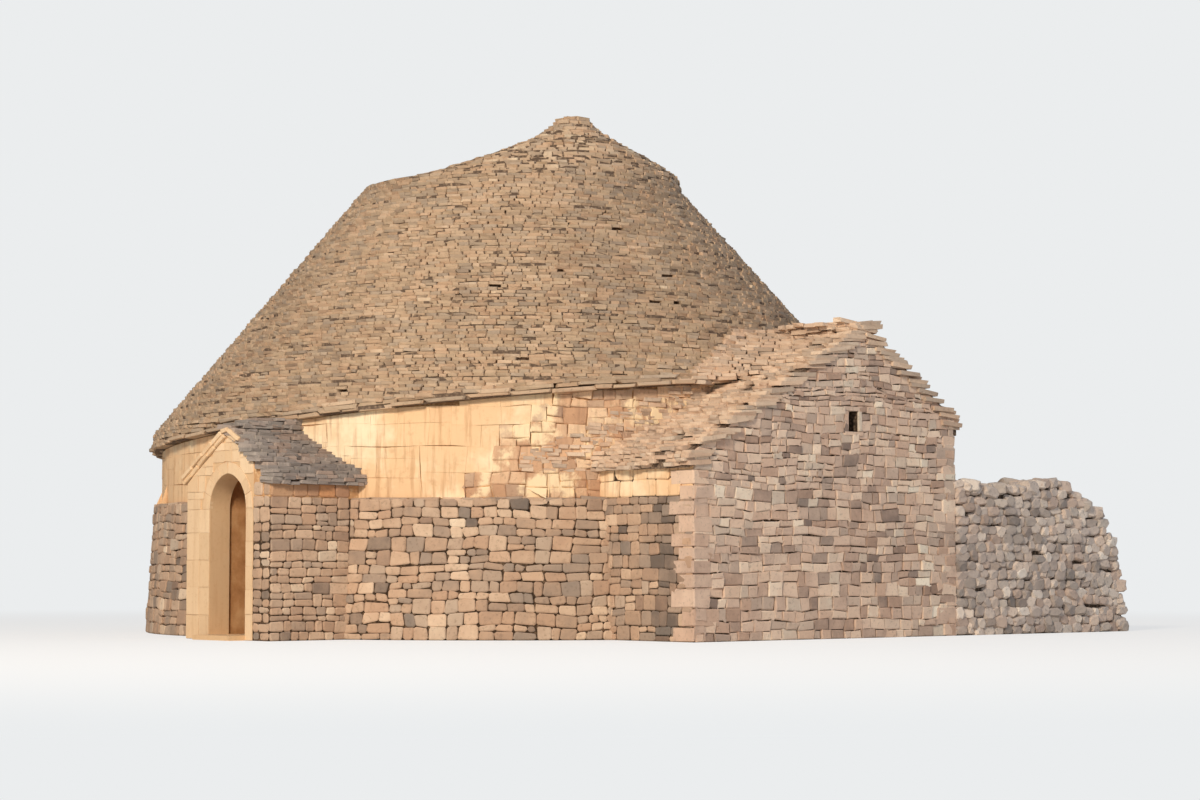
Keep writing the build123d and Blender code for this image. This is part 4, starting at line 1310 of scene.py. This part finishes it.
on_portal = on_plane((PORCH_FRONT_X, PORCH_Y + PORCH_HALF, 0), (-1, 0, 0))
boxes = lay_out(chance, PORTAL_END, ARCH_SPRING_Z, PORCH_RIDGE_Z, ((0.16, 0.32), (0.13, 0.22)))
boxes = [box for box in boxes if from_hub(*middles(box))[1].length > arch_radius + ARCH_RING + 0.02]
portal = outlines(boxes, on_portal, spandrel_clips, (0.0, PORTAL_END, ARCH_SPRING_Z, FAR_OFF), bend=0.2)
for start, length in JAMBS:
    z = 0.0
    while z < ARCH_SPRING_Z - 0.02:
        height = min(chance.uniform(0.26, 0.36), ARCH_SPRING_Z - z)
        height = ARCH_SPRING_Z - z if ARCH_SPRING_Z - z - height < 0.12 else height
        parts = (0.56, 0.44) if length > 0.3 and chance.random() < 0.5 else (1.0,)
        s = start
        for part in parts:
            rectangle(portal, s, s + length * part, z, z + height)
            s += length * part
        z += height
for side, hub in hubs.items():
    for number in range(VOUSSOIRS):
        low_angle = arch_sweep * number / VOUSSOIRS
        ray = Vector((side * math.cos(low_angle), math.sin(low_angle), 0))
        ends = [portal.verts.new(hub + ray * reach) for reach in (arch_radius, arch_radius + ARCH_RING)]
        before = set(portal.faces)
        bmesh.ops.spin(portal, geom=ends + [portal.edges.new(ends)], cent=hub, axis=(0, 0, 1),
                       angle=side * arch_sweep / VOUSSOIRS, steps=3)
        bmesh.ops.dissolve_faces(portal, faces=[face for face in portal.faces if face not in before])
stones_from(portal, "portal_dressed_blocks", on_portal, portal_stone, "cut_stone", joint=0.003, corner=0.0,
            proud=0.012, rough=0.003, chamfer=0.003, back=0.04)

# %% [markdown]
# ## Coping and side walls of the porch
# On the left two thin bands of stone rake up the gable and round over its peak, with a dark joint
# between them. With the slabs on the right they take the place of the plain solids, so that the
# peak can be soft. The sides of the porch are rubble like the drum's foot.

# %% Coping of the porch
COPING_BANDS = ((0.058, 0.040, 0.090), (0.054, 0.065, 0.028))  # thickness, stand-out and drop
COPING_DEPTH = 0.34
coping_stones = []
for thick, proud, drop in COPING_BANDS:
    s = -0.07
    while s < PORCH_HALF + 0.14:
        width = chance.uniform(0.15, 0.26)
        middle = s + width / 2
        lean = -PORCH_PITCH * (middle - PORCH_HALF) / math.hypot(middle - PORCH_HALF, 0.10)
        centre = on_portal(middle, raking(middle) + 0.03 - drop, proud - COPING_DEPTH / 2)
        centre += UP * chance.gauss(0, 0.004)
        size = (width * math.hypot(1, lean) - 0.004, COPING_DEPTH, thick * chance.uniform(0.9, 1.05))
        along = (0, -1, lean + chance.gauss(0, 0.02))
        coping_stones.append((centre, along, (-1, 0, 0), size, tone_at(chance, centre)))
        s += width
coping = lay("porch_coping_stones", coping_stones, block_heap, portal_stone)
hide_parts("porch_coping_left", "porch_coping_right")

# %% Side walls of the porch
PORCH_TOP = PORCH_RIDGE_Z - PORCH_PITCH * PORCH_HALF - 0.11
SIDE_RUBBLE, SIDE_WASHED = ((0.12, 0.30), (0.08, 0.18)), ((0.16, 0.34), (0.09, 0.2))
for title, side, upper in (("left", 1, washed_stone), ("right", -1, ochre_stone)):
    y = PORCH_Y + side * PORCH_HALF
    back = -math.sqrt((DRUM_R + 0.15) ** 2 - y ** 2)
    length = back - PORCH_FRONT_X
    start = (back if side > 0 else PORCH_FRONT_X, y, 0)
    side_face(f"porch_{title}_side_rubble", start, (0, side, 0), length, 0.0, WASH_LINE, wall_stone,
              "wall_rubble", SIDE_RUBBLE, joint=0.008, corner=0.020)
    side_face(f"porch_{title}_side_ochre", start, (0, side, 0), length, WASH_LINE, PORCH_TOP, upper,
              "plastered_wall", SIDE_WASHED, bend=0.4, joint=0.005)
start, length = (PORCH_FRONT_X, PORCH_Y - PORTAL_RIGHT, 0), PORCH_HALF - PORTAL_RIGHT
side_face("porch_end_rubble", start, (-1, 0, 0), length, 0.0, PORCH_TOP, wall_stone, "wall_rubble",
          ((0.16, 0.30), (0.12, 0.2)), bend=0.5, proud=0.012)

# %% [markdown]
# ## The loose rubble wall
# To the right a low wall of grey rubble runs on. Its stones are rounder, those on top lie as they
# fell, and its end slopes away where stones have rolled off.

# %% Rubble wall
RUBBLE_ROW, RUBBLE_DEPTH, OVERLAP = 0.125, 0.25, 0.82
TOP_SPACING, TOP_PLACES, WALL_THICKNESS = 0.14, (0.04, 0.22, 0.42, 0.64), 0.83


def rubble_face(name, y, out):
    """Cover one face of the loose wall with field stones, row upon row."""
    stones, z = [], RUBBLE_ROW / 2
    while z < 2.1:
        x = RUBBLE_LOW.x + 0.02
        while x < RUBBLE_HIGH.x - 0.08:
            width = chance.uniform(0.14, 0.32)
            tall = RUBBLE_ROW * chance.uniform(1.15, 1.70)
            middle = x + width * OVERLAP / 2
            x += width * OVERLAP
            if z + tall * 0.35 < profile_at(RUBBLE_PROFILE, middle)[0]:
                centre = Vector((middle, y - out * chance.uniform(0.02, 0.07), z + chance.gauss(0, 0.018)))
                along = (-out, chance.gauss(0, 0.15), chance.gauss(0, 0.10))
                pointing = (chance.gauss(0, 0.15), out, chance.gauss(0, 0.12))
                size = (width, RUBBLE_DEPTH, tall)
                stones.append((centre, along, pointing, size, tone_at(chance, centre, 0.17)))
        z += RUBBLE_ROW
    lay(name, stones, field_heap, loose_stone)


rubble_face("rubble_wall_front", RUBBLE_LOW.y, -1)
rubble_face("rubble_wall_back", RUBBLE_HIGH.y, 1)

top_stones = []
for (x0, z0), (x1, z1) in zip(RUBBLE_PROFILE, RUBBLE_PROFILE[1:]):
    count = max(1, int(math.hypot(x1 - x0, z1 - z0) / TOP_SPACING))
    for number in range(count):
        share = (number + chance.random()) / count
        for across in TOP_PLACES:
            width = chance.uniform(0.18, 0.34)
            tall = width * chance.uniform(0.5, 0.75)
            x = min(x0 + share * (x1 - x0), RUBBLE_HIGH.x - width * 0.35)
            z = max(tall * 0.62, z0 + share * (z1 - z0) - 0.02 + chance.uniform(-0.03, 0.05))
            centre = Vector((x, RUBBLE_LOW.y + across * WALL_THICKNESS, z))
            along = Vector((1, chance.uniform(-0.8, 0.8), chance.uniform(-0.25, 0.25)))
            out = Vector((chance.uniform(-0.5, 0.5), -1, chance.uniform(-0.3, 0.3)))
            tone = min(1.0, tone_at(chance, centre) + 0.1)
            top_stones.append((centre, along, out, (width, width * 0.85, tall), tone))
lay("rubble_wall_top", top_stones, field_heap, loose_stone)

# %% [markdown]
# ## Putting the heap away
# The shapes we copied from are no part of the house, so they leave the file.

# %% Remove the template stones
for collection in HEAPS:
    for stone in list(collection.objects):
        bpy.data.objects.remove(stone)
    bpy.data.collections.remove(collection)
print("triangles laid", sum(laid.values()), "largest piece", max(laid.values()))

# %% [markdown]
# ## Floor, light and camera
# A pale floor and soft light show the stone plainly. The key light comes from the left and low,
# as on a late afternoon, so that the porch front and the limewashed wall are bright and the right
# flank of the cone falls into softer, bluer shade. Far from the house the floor fades into the
# pale backdrop, so that no horizon cuts the picture.

# %% Floor and backdrop
BACKDROP, IN_LIGHT, TO_THE_EYE = "#ebedee", "#dcd9d4", "#f2f0ec"
scene = bpy.context.scene
bm = bmesh.new()
bmesh.ops.create_grid(bm, x_segments=1, y_segments=1, size=200)
floor = put("floor", to_mesh(bm, "floor"))
pale, tree, place = new_surface("pale_floor", 0.9)
surface = tree.nodes["Principled BSDF"]
seen = add(tree, "ShaderNodeLightPath").outputs["Is Camera Ray"]
tree.links.new(mixed(tree, seen, IN_LIGHT, TO_THE_EYE), surface.inputs["Base Color"])
glow = add(tree, "ShaderNodeEmission", Color="#ffffff")
far = add(tree, "ShaderNodeEmission", Color=BACKDROP)
half_seen = sums(tree, "MULTIPLY", seen, 0.6)
near = add(tree, "ShaderNodeMixShader", _0=half_seen, _1=surface.outputs[0], _2=glow.outputs[0])
away = add(tree, "ShaderNodeVectorMath", {"operation": "LENGTH"}, _0=place).outputs["Value"]
fade = sums(tree, "MULTIPLY", step(tree, away, 9.0, 24.0), seen)
blend = add(tree, "ShaderNodeMixShader", _0=fade, _1=near.outputs[0], _2=far.outputs[0])
tree.links.new(blend.outputs[0], tree.nodes["Material Output"].inputs["Surface"])
floor.data.materials.append(pale)
floor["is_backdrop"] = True

world = bpy.data.worlds.new("studio")
scene.world = world
world.use_nodes = True
tree = world.node_tree
sky = tree.nodes["Background"]
sky.inputs["Color"].default_value = linear("#dfe7f2")
sky.inputs["Strength"].default_value = 0.42
backdrop = add(tree, "ShaderNodeBackground", Color=BACKDROP, Strength=1.0)
seen = add(tree, "ShaderNodeLightPath").outputs["Is Camera Ray"]
choose = add(tree, "ShaderNodeMixShader", _0=seen, _1=sky.outputs[0], _2=backdrop.outputs[0])
tree.links.new(choose.outputs[0], tree.nodes["World Output"].inputs["Surface"])
print("floor and sky ready")


# %% Lamps
def look_from(thing, place, aim):
    """Put a lamp or the camera in its place and turn it to what it looks at."""
    thing.location = place
    thing.rotation_euler = (aim - thing.location).to_track_quat("-Z", "Y").to_euler()


def soft_lamp(name, direction, distance, size, power, colour):
    """A large area lamp that looks at the house from a direction."""
    data = bpy.data.lights.new(name, "AREA")
    data.shape = "SQUARE"
    data.size = size
    data.energy = power
    data.color = linear(colour)[:3]
    aim = Vector((0, -1, 3))
    look_from(put(name, data), aim + Vector(direction).normalized() * distance, aim)


soft_lamp("key_lamp", (-1.0, -0.60, 0.50), 40, 6, 11500, "#fff0dc")
soft_lamp("fill_lamp", (0.7, -1.0, 0.5), 45, 25, 2500, "#e6eeff")
print("lamps", len(bpy.data.lights))

# %% [markdown]
# ## The camera
# It looks from the photograph's own direction, at eye height some 37 m off, with a longer lens so
# that the house fills the frame.

# %% Camera
EYE, TURN, AWAY = 0.89, math.radians(40), 37.6
camera_data = bpy.data.cameras.new("camera")
camera_data.sensor_width = 36
camera_data.lens = 77
camera_data.clip_end = 600
camera = put("camera", camera_data)
look_from(camera, Vector((-AWAY * math.sin(TURN), -AWAY * math.cos(TURN), EYE)), Vector((0.75, -1.1, 3.35)))
scene.camera = camera
scene.view_settings.view_transform = "Standard"
print("camera at", [round(part, 1) for part in camera.location], "lens", camera_data.lens, "mm")

# %% The size of everything drawn, and the end
low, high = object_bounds()
print("visual box", [round(v, 2) for v in (*low, *high)])
